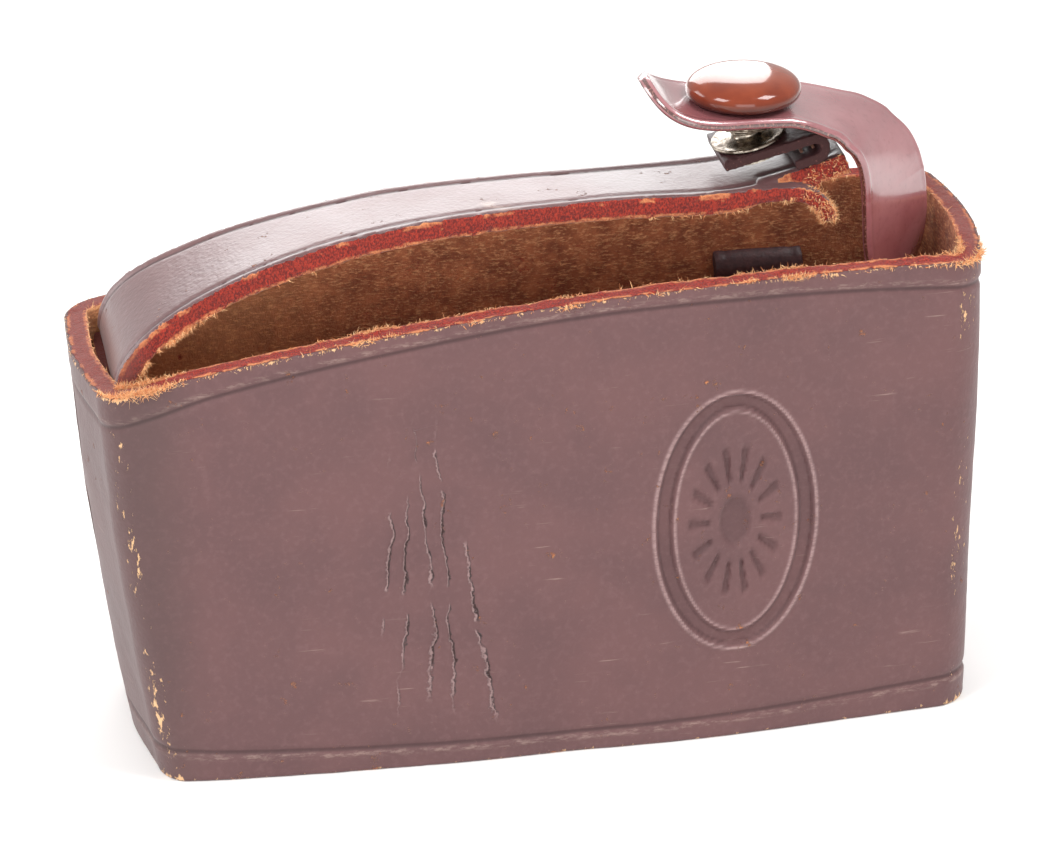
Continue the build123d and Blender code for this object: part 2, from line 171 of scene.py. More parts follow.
def points_of(piece):
    """The piece's points in millimetres, and their normals."""
    mesh = piece.data
    points = np.empty(len(mesh.vertices) * 3, np.float32)
    mesh.vertices.foreach_get("co", points)
    normals = np.empty(len(mesh.vertices) * 3, np.float32)
    mesh.vertex_normals.foreach_get("vector", normals)
    return points.reshape(-1, 3).astype(float) / MM, normals.reshape(-1, 3).astype(float)


def move_points(piece, points):
    """Puts the piece's points at these places, given in millimetres."""
    piece.data.vertices.foreach_set("co", (points * MM).astype(np.float32).ravel())
    piece.data.update()


def store(piece, **fields):
    """Stores numbers for each point of the piece, for its material to read."""
    for field, values in fields.items():
        attribute = piece.data.attributes.new(field, "FLOAT", "POINT")
        attribute.data.foreach_set("value", np.asarray(values, np.float32))


def finish_piece(piece, material, smooth_angle=40):
    """Stores the resting place, smooths the shading except at sharp corners and adds the material."""
    points, _ = points_of(piece)
    rest = piece.data.attributes.new("rest", "FLOAT_VECTOR", "POINT")
    rest.data.foreach_set("vector", points.astype(np.float32).ravel())
    piece.data.shade_smooth()
    piece.data.set_sharp_from_angle(angle=radians(smooth_angle))
    piece.data.materials.clear()
    piece.data.materials.append(material)
    return piece


def loop_faces(loops, size, closed):
    """Quads between loops of `size` points; `closed` also joins the last loop to the first."""
    faces = []
    for index in range(loops if closed else loops - 1):
        here, there = index * size, (index + 1) % loops * size
        for step in range(size):
            after = (step + 1) % size
            faces.append((here + step, here + after, there + after, there + step))
    return faces


def capped_tube(loops, size):
    """Faces of a tube made of loops, closed at both ends."""
    last = (loops - 1) * size
    caps = [tuple(reversed(range(size))), tuple(range(last, last + size))]
    return loop_faces(loops, size, False) + caps


def lathe(name, profile, base, tilt=0.0, sides=96, ring=False):
    """Piece turned from a profile of (radius, height), leaning to the left by `tilt` about its base.

    A ring's profile closes on itself; any other profile is capped at both ends.
    """
    axis = np.array((-sin(tilt), 0, cos(tilt)))
    across = np.array((cos(tilt), 0, sin(tilt)))
    sideways = np.array((0, 1, 0))
    points = []
    for radius, height in profile:
        for side in range(sides):
            angle = 2 * pi * side / sides
            points.append(
                np.array(base) + axis * height + radius * (cos(angle) * across + sin(angle) * sideways)
            )
    faces = loop_faces(len(profile), sides, True) if ring else capped_tube(len(profile), sides)
    return new_piece(name, points, faces)


def curve_through(stations, count):
    """Smooth line through rows of numbers whose first two are a place: `count` evenly spread rows."""
    rows = np.array(stations, float)
    padded = np.vstack([2 * rows[0] - rows[1], rows, 2 * rows[-1] - rows[-2]])
    steps = 24
    fine = []
    for index in range(1, len(padded) - 2):
        p0, p1, p2, p3 = padded[index - 1 : index + 3]
        for step in range(steps):
            t = step / steps
            fine.append(
                0.5 * (2 * p1 + (p2 - p0) * t + (2 * p0 - 5 * p1 + 4 * p2 - p3) * t**2
                       + (3 * p1 - p0 - 3 * p2 + p3) * t**3)
            )
    fine = np.array(fine + [rows[-1]])
    length = length_so_far(fine)
    wanted = np.linspace(0, length[-1], count)
    return np.column_stack([np.interp(wanted, length, column) for column in fine.T])


# ---------------------------------------------------------------- material recipes
def srgb(red, green, blue):
    """Colour of 0 to 255 values as linear light."""
    def linear(value):
        value /= 255
        return value / 12.92 if value <= 0.04045 else ((value + 0.055) / 1.055) ** 2.4
    return (linear(red), linear(green), linear(blue), 1.0)


class Recipe:
    """A procedural material.  Each method adds a node and gives its output socket."""

    def __init__(self, name, in_object_space=False, **shader_values):
        self.material = bpy.data.materials.new(name)
        self.material.use_nodes = True
        self.nodes = self.material.node_tree.nodes
        self.links = self.material.node_tree.links
        self.shader = self.nodes["Principled BSDF"]
        for socket, value in shader_values.items():
            self.shader.inputs[socket.replace("_", " ")].default_value = value
        if in_object_space:
            place = self.nodes.new("ShaderNodeTexCoord").outputs["Object"]
            self.place = self.scaled(place, (1 / MM,) * 3)
        else:
            self.place = self.attribute("rest", "Vector")

    def put(self, socket, value):
        if isinstance(value, bpy.types.NodeSocket):
            self.links.new(value, socket)
        else:
            socket.default_value = value

    def attribute(self, name, output="Fac"):
        node = self.nodes.new("ShaderNodeAttribute")
        node.attribute_name = name
        return node.outputs[output]

    def scaled(self, vector, ratio):
        """The vector times a ratio for each axis."""
        node = self.nodes.new("ShaderNodeVectorMath")
        node.operation = "MULTIPLY"
        self.put(node.inputs[0], vector)
        self.put(node.inputs[1], ratio)
        return node.outputs["Vector"]

    def math(self, operation, a, b=0.0):
        node = self.nodes.new("ShaderNodeMath")
        node.operation = operation
        self.put(node.inputs[0], a)
        self.put(node.inputs[1], b)
        return node.outputs[0]

    def add(self, *values):
        total = values[0]
        for value in values[1:]:
            total = self.math("ADD", total, value)
        return total

    def times(self, a, b):
        return self.math("MULTIPLY", a, b)

    def weighted(self, *terms):
        """Sum of (value, weight) pairs."""
        return self.add(*[self.times(value, weight) for value, weight in terms])

    def minus(self, a, b):
        return self.math("SUBTRACT", a, b)

    def absolute(self, value):
        return self.math("ABSOLUTE", value)

    def larger(self, a, b):
        return self.math("MAXIMUM", a, b)

    def noise(self, size, detail=3.0, roughness=0.55, stretch=(1, 1, 1)):
        """Noise from 0 to 1 whose features are about `size` millimetres, stretched along the axes."""
        node = self.nodes.new("ShaderNodeTexNoise")
        ratio = tuple(1 / (size * factor) for factor in stretch)
        self.put(node.inputs["Vector"], self.scaled(self.place, ratio))
        node.inputs["Scale"].default_value = 1.0
        node.inputs["Detail"].default_value = detail
        node.inputs["Roughness"].default_value = roughness
        return node.outputs["Fac"]

    def cells(self, size):
        """Distance from the middles of cells of about `size` millimetres."""
        node = self.nodes.new("ShaderNodeTexVoronoi")
        self.put(node.inputs["Vector"], self.scaled(self.place, (1 / size,) * 3))
        node.inputs["Scale"].default_value = 1.0
        return node.outputs["Distance"]

    def step(self, value, low, high, to_low=0.0, to_high=1.0):
        """Smooth change from to_low to to_high while the value goes from low to high."""
        node = self.nodes.new("ShaderNodeMapRange")
        node.interpolation_type = "SMOOTHSTEP"
        for socket, number in zip(node.inputs, (value, low, high, to_low, to_high)):
            self.put(socket, number)
        return node.outputs["Result"]

    def mix(self, factor, a, b):
        node = self.nodes.new("ShaderNodeMix")
        node.data_type = "RGBA"
        self.put(node.inputs["Factor"], factor)
        first, second = [socket for socket in node.inputs if socket.type == "RGBA"]
        self.put(first, a)
        self.put(second, b)
        return next(socket for socket in node.outputs if socket.type == "RGBA")

    def axis(self, name):
        node = self.nodes.new("ShaderNodeSeparateXYZ")
        self.put(node.inputs[0], self.place)
        return node.outputs[name]

    def finish(self, colour, roughness, height):
        """Links colour, roughness and a relief whose height is in millimetres."""
        self.put(self.shader.inputs["Base Color"], colour)
        self.put(self.shader.inputs["Roughness"], roughness)
        bump = self.nodes.new("ShaderNodeBump")
        bump.inputs["Strength"].default_value = 1.0
        bump.inputs["Distance"].default_value = MM
        self.put(bump.inputs["Height"], height)
        self.put(self.shader.inputs["Normal"], bump.outputs["Normal"])
        return self.material


OXBLOOD = srgb(109, 75, 75)
OXBLOOD_DARK = srgb(98, 67, 68)
OXBLOOD_LIGHT = srgb(128, 94, 94)
HIGHLIGHT_PALE = srgb(186, 156, 154)
DUST = srgb(205, 180, 165)
RAW_RED = srgb(186, 56, 36)
RAW_DARK = srgb(104, 24, 20)
RAW_BROWN = srgb(122, 68, 62)
RAW_TAN = srgb(240, 176, 116)
SUEDE = srgb(196, 118, 78)
SUEDE_DARK = srgb(138, 74, 48)
SUEDE_LIGHT = srgb(238, 176, 124)
CRACK_DARK = srgb(58, 26, 24)
GROOVE_DARK = srgb(60, 34, 36)
OVAL_RECESS_SHADE = srgb(58, 32, 34)
LEFT_END_SHADE_GREY = srgb(66, 56, 54)
WORN_TAN = srgb(226, 180, 134)
NICKEL_PLATE, NICKEL_TARNISH = srgb(186, 176, 162), srgb(98, 84, 72)


def raw_and_suede(recipe, grain_colour, grain_roughness, grain_height, tan=0.5):
    """Puts the red cut edge and the tan flesh side under a grain side, by depth below the grain."""
    depth = recipe.attribute("depth")
    torn = recipe.noise(0.9, 4.0, 0.7)
    fine = recipe.noise(0.22, 3.0, 0.6, (1, 1, 1.6))
    clumps = recipe.noise(3.2, 3.0, 0.6)
    ragged = recipe.add(depth, recipe.times(torn, 0.7), recipe.times(clumps, 0.7), -0.7)
    is_raw = recipe.step(ragged, 0.16, 0.3)
    is_suede = recipe.step(ragged, LEATHER - 0.3, LEATHER - 0.1)
    layer = recipe.noise(1.6, 4.0, 0.65)
    red = recipe.mix(recipe.step(fine, 0.35, 0.7), RAW_DARK, RAW_RED)
    at_an_end = recipe.step(recipe.absolute(recipe.axis("X")), 53.5, 57.5, 0.0, 0.75)
    red = recipe.mix(at_an_end, red, RAW_BROWN)
    near_grain = recipe.step(ragged, 0.85, 0.5)
    near_flesh = recipe.step(ragged, LEATHER - 0.75, LEATHER - 0.4)
    patchy = recipe.step(clumps, 0.6 - 0.25 * tan, 0.7 - 0.25 * tan)
    lower_patchy = recipe.step(torn, 0.36, 0.56)
    tan_mask = recipe.larger(recipe.times(near_grain, patchy), recipe.times(near_flesh, lower_patchy))
    tan_mask = recipe.larger(tan_mask, recipe.step(layer, 0.74 - 0.12 * tan, 0.86 - 0.12 * tan))
    tan_mask = recipe.times(tan_mask, recipe.minus(1.0, recipe.times(at_an_end, 0.6)))
    raw_colour = recipe.mix(tan_mask, red, recipe.mix(fine, RAW_RED, RAW_TAN))
    nap = recipe.noise(3.5, 5.0, 0.7)
    suede_colour = recipe.mix(recipe.step(nap, 0.3, 0.7), SUEDE_DARK, SUEDE)
    hairs = recipe.noise(0.32, 4.0, 0.75, (3, 3, 1))
    suede_colour = recipe.mix(recipe.step(hairs, 0.48, 0.68, 0.0, 0.85), suede_colour, SUEDE_LIGHT)
    # painted light: the suede is lighter towards the left, where the inside catches more light
    painted_light_left = recipe.step(recipe.axis("X"), -18.0, -50.0, 0.0, 0.45)
    suede_colour = recipe.mix(painted_light_left, suede_colour, SUEDE_LIGHT)
    colour = recipe.mix(is_raw, grain_colour, raw_colour)
    colour = recipe.mix(is_suede, colour, suede_colour)
    roughness = recipe.step(is_raw, 0.0, 1.0, grain_roughness, 0.92)
    fibres = recipe.weighted((torn, 0.35), (fine, 0.18), (hairs, 0.2))
    height = recipe.weighted((grain_height, recipe.minus(1.0, is_raw)), (fibres, is_raw))
    return colour, roughness, height


def grain(recipe, pebble=0.03):
    """Matte pebbled grain side: colour, roughness and relief, with mottling, dust and scuffs."""
    cloud = recipe.noise(16.0, 4.0, 0.6)
    mottle = recipe.noise(0.9, 5.0, 0.6)
    pores = recipe.cells(0.55)
    creased = recipe.noise(0.9, 4.0, 0.6, (1, 1, 2.2))
    specks = recipe.cells(2.6)
    speck_size = recipe.noise(4.0, 1.0)
    scuffs = recipe.noise(1.1, 3.0, 0.6, (9, 9, 0.5))
    colour = recipe.mix(recipe.step(cloud, 0.3, 0.7), OXBLOOD_DARK, OXBLOOD)
    colour = recipe.mix(recipe.times(recipe.step(mottle, 0.45, 0.75), 0.3), colour, OXBLOOD_LIGHT)
    scuffed = recipe.times(recipe.step(scuffs, 0.66, 0.74), recipe.step(cloud, 0.48, 0.6, 0.0, 0.3))
    colour = recipe.mix(scuffed, colour, DUST)
    speck_reach = recipe.step(speck_size, 0.5, 0.8, -0.03, 0.075)
    speck = recipe.step(recipe.minus(specks, speck_reach), 0.0, -0.025, 0.0, 0.75)
    colour = recipe.mix(speck, colour, DUST)
    height = recipe.weighted((pores, -pebble), (creased, 2.0 * pebble), (mottle, pebble))
    return colour, cloud, height


def sleeve_leather():
    """Grain with a crack cluster and worn corners outside, raw edges and suede inside."""
    recipe = Recipe("sleeve_leather", Specular_IOR_Level=0.42, Sheen_Weight=0.12, Sheen_Roughness=0.5)
    colour, cloud, height = grain(recipe)
    # cracks lie at whole numbers of crack_line, and crack_open says how far each one gapes
    line = recipe.attribute("crack_line")
    gape = recipe.attribute("crack_open")
    jag = recipe.times(recipe.add(recipe.noise(1.1, 5.0, 0.75), -0.5), 0.55)
    line = recipe.add(line, jag)
    beside = recipe.minus(line, recipe.math("ROUND", line))
    away = recipe.absolute(beside)
    crack = recipe.step(recipe.minus(away, recipe.times(gape, 0.055)), 0.0, -0.03)
    # one side of each crack is raised a little and painted pale as a highlight
    highlit_crack_edge = recipe.step(recipe.absolute(recipe.add(beside, 0.07)), 0.06, 0.01)
    lifted_highlit_edge = recipe.times(highlit_crack_edge, recipe.step(gape, 0.02, 0.3))
    colour = recipe.mix(recipe.times(lifted_highlit_edge, 0.6), colour, HIGHLIGHT_PALE)
    colour = recipe.mix(crack, colour, CRACK_DARK)
    height = recipe.add(height, recipe.times(crack, -0.3), recipe.times(lifted_highlit_edge, 0.1))
    # the tooled lines are dark in their groove and scuffed pale beside it
    tooled = recipe.attribute("tooled")
    groove = recipe.times(recipe.step(recipe.absolute(tooled), 0.5, 0.05), 0.6)
    colour = recipe.mix(groove, colour, GROOVE_DARK)
    scuff_place = recipe.step(recipe.absolute(recipe.add(tooled, -0.8)), 0.7, 0.1)
    mottled = recipe.noise(0.5, 5.0, 0.75, (4, 4, 1))
    scuff_noise = recipe.step(mottled, 0.46, 0.66, 0.0, 0.26)
    colour = recipe.mix(recipe.times(scuff_place, scuff_noise), colour, DUST)
    # painted shade darkens the oval's pressed walls and sunburst, and painted highlights pale its ridges
    dirt = recipe.attribute("dirt")
    colour = recipe.mix(recipe.step(dirt, 0.0, 1.0, 0.0, 0.42), colour, OVAL_RECESS_SHADE)
    ridge_highlight = recipe.times(recipe.step(dirt, 0.0, -1.0), recipe.step(mottled, 0.35, 0.6, 0.25, 0.6))
    colour = recipe.mix(ridge_highlight, colour, HIGHLIGHT_PALE)
    # worn corners and edges show tan specks
    wear = recipe.attribute("wear")
    chips = recipe.noise(0.7, 5.0, 0.72, (1, 1, 2.4))
    # painted shade: the left end is coloured darker and greyer for the shading it gets as it faces left
    left_end_shade = recipe.step(recipe.axis("X"), -47, -56, 0.0, 0.38)
    colour = recipe.mix(left_end_shade, colour, LEFT_END_SHADE_GREY)
    worn = recipe.step(recipe.add(chips, recipe.times(wear, 0.27)), 0.78, 0.81)
    colour = recipe.mix(worn, colour, WORN_TAN)
    height = recipe.add(height, recipe.times(worn, -0.12))
    roughness = recipe.step(cloud, 0.25, 0.75, 0.5, 0.62)
    colour, roughness, height = raw_and_suede(recipe, colour, roughness, height, 0.6)
    return recipe.finish(colour, roughness, height)


def flap_leather():
    """The same leather, a little sleeker on its grain side."""
    recipe = Recipe("flap_leather", Specular_IOR_Level=0.6, Sheen_Weight=0.2, Sheen_Roughness=0.45)
    colour, cloud, height = grain(recipe, 0.02)
    tooled = recipe.attribute("tooled")
    groove = recipe.times(recipe.step(recipe.absolute(tooled), 0.45, 0.05), 0.7)
    colour = recipe.mix(groove, colour, srgb(52, 30, 34))
    roughness = recipe.step(cloud, 0.25, 0.75, 0.29, 0.4)
    colour, roughness, height = raw_and_suede(recipe, colour, roughness, height, 0.35)
    return recipe.finish(colour, roughness, height)


def strap_leather():
    """Thin strap leather with a brown cut edge.  Its glossy coat is the same on both sides."""
    recipe = Recipe(
        "strap_leather", Specular_IOR_Level=0.6,
        Coat_Weight=1.0, Coat_IOR=1.9, Coat_Roughness=0.12,
    )
    depth = recipe.attribute("depth")
    edge = recipe.attribute("from_edge")
    cloud = recipe.noise(9.0, 3.0, 0.5)
    mottle = recipe.noise(0.8, 4.0, 0.6)
    colour = recipe.mix(recipe.step(cloud, 0.3, 0.7), srgb(148, 85, 90), srgb(168, 107, 111))
    colour = recipe.mix(recipe.step(mottle, 0.5, 0.8, 0.0, 0.3), colour, srgb(104, 46, 52))
    raw = recipe.step(recipe.add(edge, recipe.times(mottle, 0.12)), 0.13, 0.07)
    flesh = recipe.step(depth, STRAP_LEATHER - 0.25, STRAP_LEATHER - 0.12)
    torn = recipe.step(recipe.noise(0.35, 4.0, 0.7), 0.5, 0.7)
    colour = recipe.mix(raw, colour, recipe.mix(torn, srgb(84, 40, 38), srgb(176, 120, 108)))
    colour = recipe.mix(flesh, colour, srgb(88, 44, 40))
    roughness = recipe.step(flesh, 0.0, 1.0, 0.27, 0.8)
    pores = recipe.cells(0.4)
    height = recipe.weighted((pores, -0.008), (recipe.noise(5.0, 2.0), 0.05))
    return recipe.finish(colour, roughness, height)


def tab_leather():
    """Thin tab leather: its grain and raw edges are painted dark for the shade under the strap, with pinkish
    flecks on the raw edges.
    """
    recipe = Recipe("tab_leather", Specular_IOR_Level=0.5)
    edge = recipe.attribute("from_edge")
    mottle = recipe.noise(0.9, 4.0, 0.6)
    torn = recipe.noise(0.35, 3.0, 0.7)
    # painted shade: the whole tab is coloured dark, standing for the strap's shadow on it
    colour = recipe.mix(recipe.step(mottle, 0.35, 0.7), srgb(58, 30, 34), srgb(80, 46, 48))
    raw = recipe.step(recipe.add(edge, recipe.times(torn, 0.2)), 0.3, 0.16)
    flecks = recipe.step(torn, 0.6, 0.8)
    colour = recipe.mix(raw, colour, recipe.mix(flecks, srgb(62, 32, 32), srgb(150, 96, 88)))
    height = recipe.weighted((recipe.cells(0.45), -0.02), (torn, 0.05))
    return recipe.finish(colour, recipe.step(raw, 0.0, 1.0, 0.45, 0.85), height)


def fibre_material():
    """Loose leather fibres, from orange tan to red brown."""
    recipe = Recipe("loose_fibres", Specular_IOR_Level=0.2, Sheen_Weight=0.3)
    tint = recipe.attribute("tint")
    colour = recipe.mix(tint, srgb(216, 132, 78), srgb(250, 208, 154))
    return recipe.finish(colour, recipe.step(tint, 0, 1, 0.7, 0.9), recipe.times(tint, 0.001))


def thread_material():
    """Waxed brown thread, worn lighter in places."""
    recipe = Recipe("waxed_thread", Specular_IOR_Level=0.35, Sheen_Weight=0.2)
    worn = recipe.noise(1.2, 4.0, 0.7)
    colour = recipe.mix(recipe.step(worn, 0.35, 0.7), srgb(98, 58, 48), srgb(156, 112, 90))
    return recipe.finish(colour, recipe.step(worn, 0.3, 0.7, 0.5, 0.75), recipe.times(worn, 0.04))


def enamel_material():
    """Brown orange enamel of the snap's cap, darker at its rim."""
    recipe = Recipe("cap_enamel", Specular_IOR_Level=0.2, Coat_Weight=0.68, Coat_Roughness=0.07)
    cloud = recipe.noise(5.0, 3.0, 0.5)
    low = recipe.step(recipe.axis("Z"), STRAP_TOP_Z + 2.6, STRAP_TOP_Z + 0.6)
    colour = recipe.mix(recipe.step(cloud, 0.3, 0.7), srgb(120, 47, 25), srgb(142, 62, 34))
    colour = recipe.mix(low, colour, srgb(66, 27, 18))
    scratches = recipe.noise(0.5, 3.0, 0.6, (1, 12, 1))
    roughness = recipe.step(scratches, 0.55, 0.8, 0.14, 0.3)
    return recipe.finish(colour, roughness, recipe.times(recipe.noise(2.0, 2.0), 0.02))


def metal_material(name, colour, tarnish, roughness, in_object_space):
    """Lightly tarnished and scratched metal."""
    recipe = Recipe(name, in_object_space, Metallic=1.0)
    spots = recipe.noise(1.4, 5.0, 0.65)
    scratches = recipe.noise(0.25, 2.0, 0.5, (8, 1, 1))
    base = recipe.mix(recipe.step(spots, 0.4, 0.62), colour, tarnish)
    rough = recipe.step(spots, 0.35, 0.75, roughness, roughness + 0.25)
    height = recipe.weighted((scratches, 0.01), (spots, 0.02))
    return recipe.finish(base, rough, height)


SLEEVE_LEATHER = sleeve_leather()
FLAP_LEATHER = flap_leather()
STRAP_MATERIAL = strap_leather()
TAB_LEATHER = tab_leather()
FIBRES = fibre_material()
THREAD = thread_material()
ENAMEL = enamel_material()
NICKEL = metal_material("nickel", NICKEL_PLATE, NICKEL_TARNISH, 0.24, False)
NICKEL_CAD = metal_material("nickel_plate", NICKEL_PLATE, NICKEL_TARNISH, 0.26, True)
BRASS_CAD = metal_material("rivet_brass", srgb(206, 168, 96), srgb(128, 92, 54), 0.3, True)
SPRING_CAD = metal_material("spring_steel", srgb(196, 190, 184), srgb(120, 110, 102), 0.2, True)


# ---------------------------------------------------------------- sleeve
OUTLINE_CURVES = [
    np.polyfit(OUTLINE_HEIGHTS, values, 2)
    for values in (OUTLINE_LEFT_X, OUTLINE_BOW, OUTLINE_LEFT_BULGE, OUTLINE_RIGHT_BULGE)
]


def outline_numbers(z):
    """Left end's x, wall bow and the two end bulges of the sleeve's outline at height z."""
    return [np.polyval(curve, z) for curve in OUTLINE_CURVES]


def top_edge(x, y):
    """Height of the sleeve's arched top edge."""
    t = (x - EDGE_START_X) / EDGE_LENGTH
    front = FRONT_TOP[0] + (FRONT_TOP[1] - FRONT_TOP[0]) * t
    back = BACK_TOP[0] + (BACK_TOP[1] - BACK_TOP[0]) * t
    return front + (back - front) * (y + 30) / 60 + 4 * TOP_ARCH * t * (1 - t)


def side_point(side, fraction, z):
    """Point of a straight side of the outline at height z, a fraction of the way along it."""
    left, bow, left_bulge, right_bulge = outline_numbers(z)
    if side in ("front", "back"):
        start, end = left + CORNER_R, RIGHT_X - CORNER_R
        along = fraction if side == "front" else 1 - fraction
        x = start + (end - start) * along
        middle, half = (left + RIGHT_X) / 2, (RIGHT_X - left) / 2
        y = HALF_DEPTH + bow * (1 - ((x - middle) / half) ** 2)
        return x, (-y if side == "front" else y)
    reach = HALF_DEPTH - CORNER_R
    y = reach * (2 * fraction - 1) * (1 if side == "right" else -1)
    crown = 1 - (y / HALF_DEPTH) ** 2
    x = RIGHT_X + right_bulge * crown if side == "right" else left - left_bulge * crown
    return x, np.full_like(z, y)


def corner_point(corner, fraction, z):
    """Point of a rounded corner of the outline at height z."""
    left, bow, left_bulge, right_bulge = outline_numbers(z)
    at_right, at_back = corner in ("front_right", "back_right"), corner.startswith("back")
    slope = 4 * bow / (RIGHT_X - left)
    lean = 2 * (right_bulge if at_right else left_bulge) / HALF_DEPTH
    x_sign, y_sign = (1 if at_right else -1), (1 if at_back else -1)
    corner_x = RIGHT_X if at_right else left
    along_wall = (-x_sign, y_sign * slope)
    along_end = (x_sign * lean, -y_sign)
    turn = fraction * pi / 2
    first, second = along_wall, along_end
    if corner in ("back_right", "front_left"):
        first, second = along_end, along_wall
    x = corner_x + CORNER_R * ((1 - cos(turn)) * second[0] + (1 - sin(turn)) * first[0])
    y = y_sign * HALF_DEPTH + CORNER_R * ((1 - cos(turn)) * second[1] + (1 - sin(turn)) * first[1])
    return x, y


def depth_below_grain(points):
    """How far inside the sleeve's outer surface each point lies."""
    x, y, z = points.T
    left, bow, left_bulge, right_bulge = outline_numbers(z)
    middle, half = (left + RIGHT_X) / 2, (RIGHT_X - left) / 2
    wall = HALF_DEPTH + bow * (1 - ((x - middle) / half) ** 2)
    crown = 1 - (y / HALF_DEPTH) ** 2
    from_wall = wall - np.abs(y)
    from_end = np.minimum(x - (left - left_bulge * crown), RIGHT_X + right_bulge * crown - x)
    depth = np.minimum(from_wall, from_end)
    in_corner = (from_wall < CORNER_R) & (from_end < CORNER_R)
    rounded = CORNER_R - np.hypot(CORNER_R - from_wall, CORNER_R - from_end)
    return np.where(in_corner, rounded, depth)


# stretches of the front wall with their numbers of columns: plain, cracks, plain, oval, plain
FRONT_STRETCHES = (
    (0.0, 0.24, 40), (0.24, 0.46, 76), (0.46, 0.62, 26), (0.62, 0.86, 100), (0.86, 1.0, 24),
)


def sleeve_columns():
    """(function, side, fraction) of each column round the sleeve, finest where the front is tooled."""
    front_places = [0.0]
    for start, end, count in FRONT_STRETCHES:
        front_places += list(np.linspace(start, end, count)[1:])
    corner_steps = (np.arange(8) + 0.5) / 8
    columns = [(side_point, "front", place) for place in front_places]
    for corner, side, count in (
        ("front_right", "right", 28), ("back_right", "back", 110), ("back_left", "left", 28),
    ):
        columns += [(corner_point, corner, place) for place in corner_steps]
        columns += [(side_point, side, place) for place in np.linspace(0, 1, count)]
    columns += [(corner_point, "front_left", place) for place in corner_steps]
    return columns


BAND, BAND_STEP = 6.0, 0.3  # fine rows at the base and at the top edge, BAND_STEP apart


def sleeve_rows():
    """Rows up the outside, over the rim and down the inside: (share of height, offset, depth)."""
    outside = [(0, z, 0) for z in np.arange(0.4, BAND, BAND_STEP)]
    outside += [(share, BAND - 2 * BAND * share, 0) for share in np.linspace(0, 1, 118)]
    outside += [(1, -z, 0) for z in np.arange(BAND - BAND_STEP, 0.3, -BAND_STEP)]
    rim = [(1, -0.12, 0.08), (1, 0, 0.3)]
    rim += [(1, 0, depth) for depth in np.linspace(0.65, 2.45, 6)]
    rim += [(1, 0, 2.72), (1, -0.12, 2.93), (1, -0.4, 3.0)]
    inside = [(share, -1.5 + 3.0 * (1 - share), 3.0) for share in np.linspace(1, 0, 40)]
    base = [(0, 0.4, 3.0), (0, 0.1, 2.9), (0, 0, 2.6), (0, 0, 1.8), (0, 0, 1.0), (0, 0, 0.35), (0, 0.1, 0.08)]
    return outside + rim + inside + base


def sleeve_grid():
    """The sleeve's leather as a fine even mesh before its slots are cut."""
    columns, rows = sleeve_columns(), sleeve_rows()
    share, offset, depth = np.array(rows).T
    # the top edge's height and the places under it depend on each other, so they are found in rounds
    edge = np.full((len(columns), len(rows)), 60.0)
    for _ in range(3):
        z = edge * share + offset
        outer = np.array([place_on(name, part, z[i]) for i, (place_on, name, part) in enumerate(columns)])
        along = np.roll(outer, -1, axis=0) - np.roll(outer, 1, axis=0)
        outward = unit(np.stack([along[:, 1], -along[:, 0]], axis=1))
        flat = outer - outward * depth
        edge = top_edge(flat[:, 0], flat[:, 1])
    z = edge * share + offset
    points = np.stack([flat[:, 0], flat[:, 1], z], axis=-1).reshape(-1, 3)
    return new_piece("sleeve", points, loop_faces(len(columns), len(rows), True))


CUTTER_REACH = 6


def slot_cutter(centre, direction, size, round_ends):
    """Points and faces of a prism along x or y, with a rectangular or capsule outline in the wall."""
    width, length = size
    if round_ends:
        turns = np.linspace(0, pi, 11)
        reach = (length - width) / 2
        outline = [(width / 2 * cos(a), reach + width / 2 * sin(a)) for a in turns]
        outline += [(-width / 2 * cos(a), -reach - width / 2 * sin(a)) for a in turns]
    else:
        w, h = width / 2, length / 2
        outline = [(w, -h), (w, h), (-w, h), (-w, -h)]
    points = []
    for step in (-CUTTER_REACH, CUTTER_REACH):
        for across, up in outline:
            place = (step, across, up) if direction == "x" else (across, step, up)
            points.append(np.add(centre, place))
    return points, capped_tube(2, len(outline))


def cut_slots(sleeve):
    """Cuts the two slots in the left end and the belt loop's slots in the back wall."""
    cutters = [
        slot_cutter((-61, SLOT_Y, z), "x", (SLOT_WIDTH, SLOT_LENGTH), True) for z in SLOT_CENTRES_Z
    ] + [
        slot_cutter((LOOP_X, 17, z), "y", (LOOP_WIDTH + 1.2, LOOP_SLOT_HEIGHT), False) for z in LOOP_SLOTS_Z
    ]
    cutter = joined("slot_cutter", cutters)
    boolean = sleeve.modifiers.new("Slots", "BOOLEAN")
    boolean.operation = "DIFFERENCE"
    boolean.solver = "EXACT"
    boolean.object = cutter
    result = baked(sleeve, "sleeve")
    bpy.data.objects.remove(cutter)
    return result


OVAL_X, OVAL_Z, OVAL_HALF_WIDTH, OVAL_HALF_HEIGHT = 23.0, 32.6, 11.0, 18.7
SUNBURST_RAYS = 14


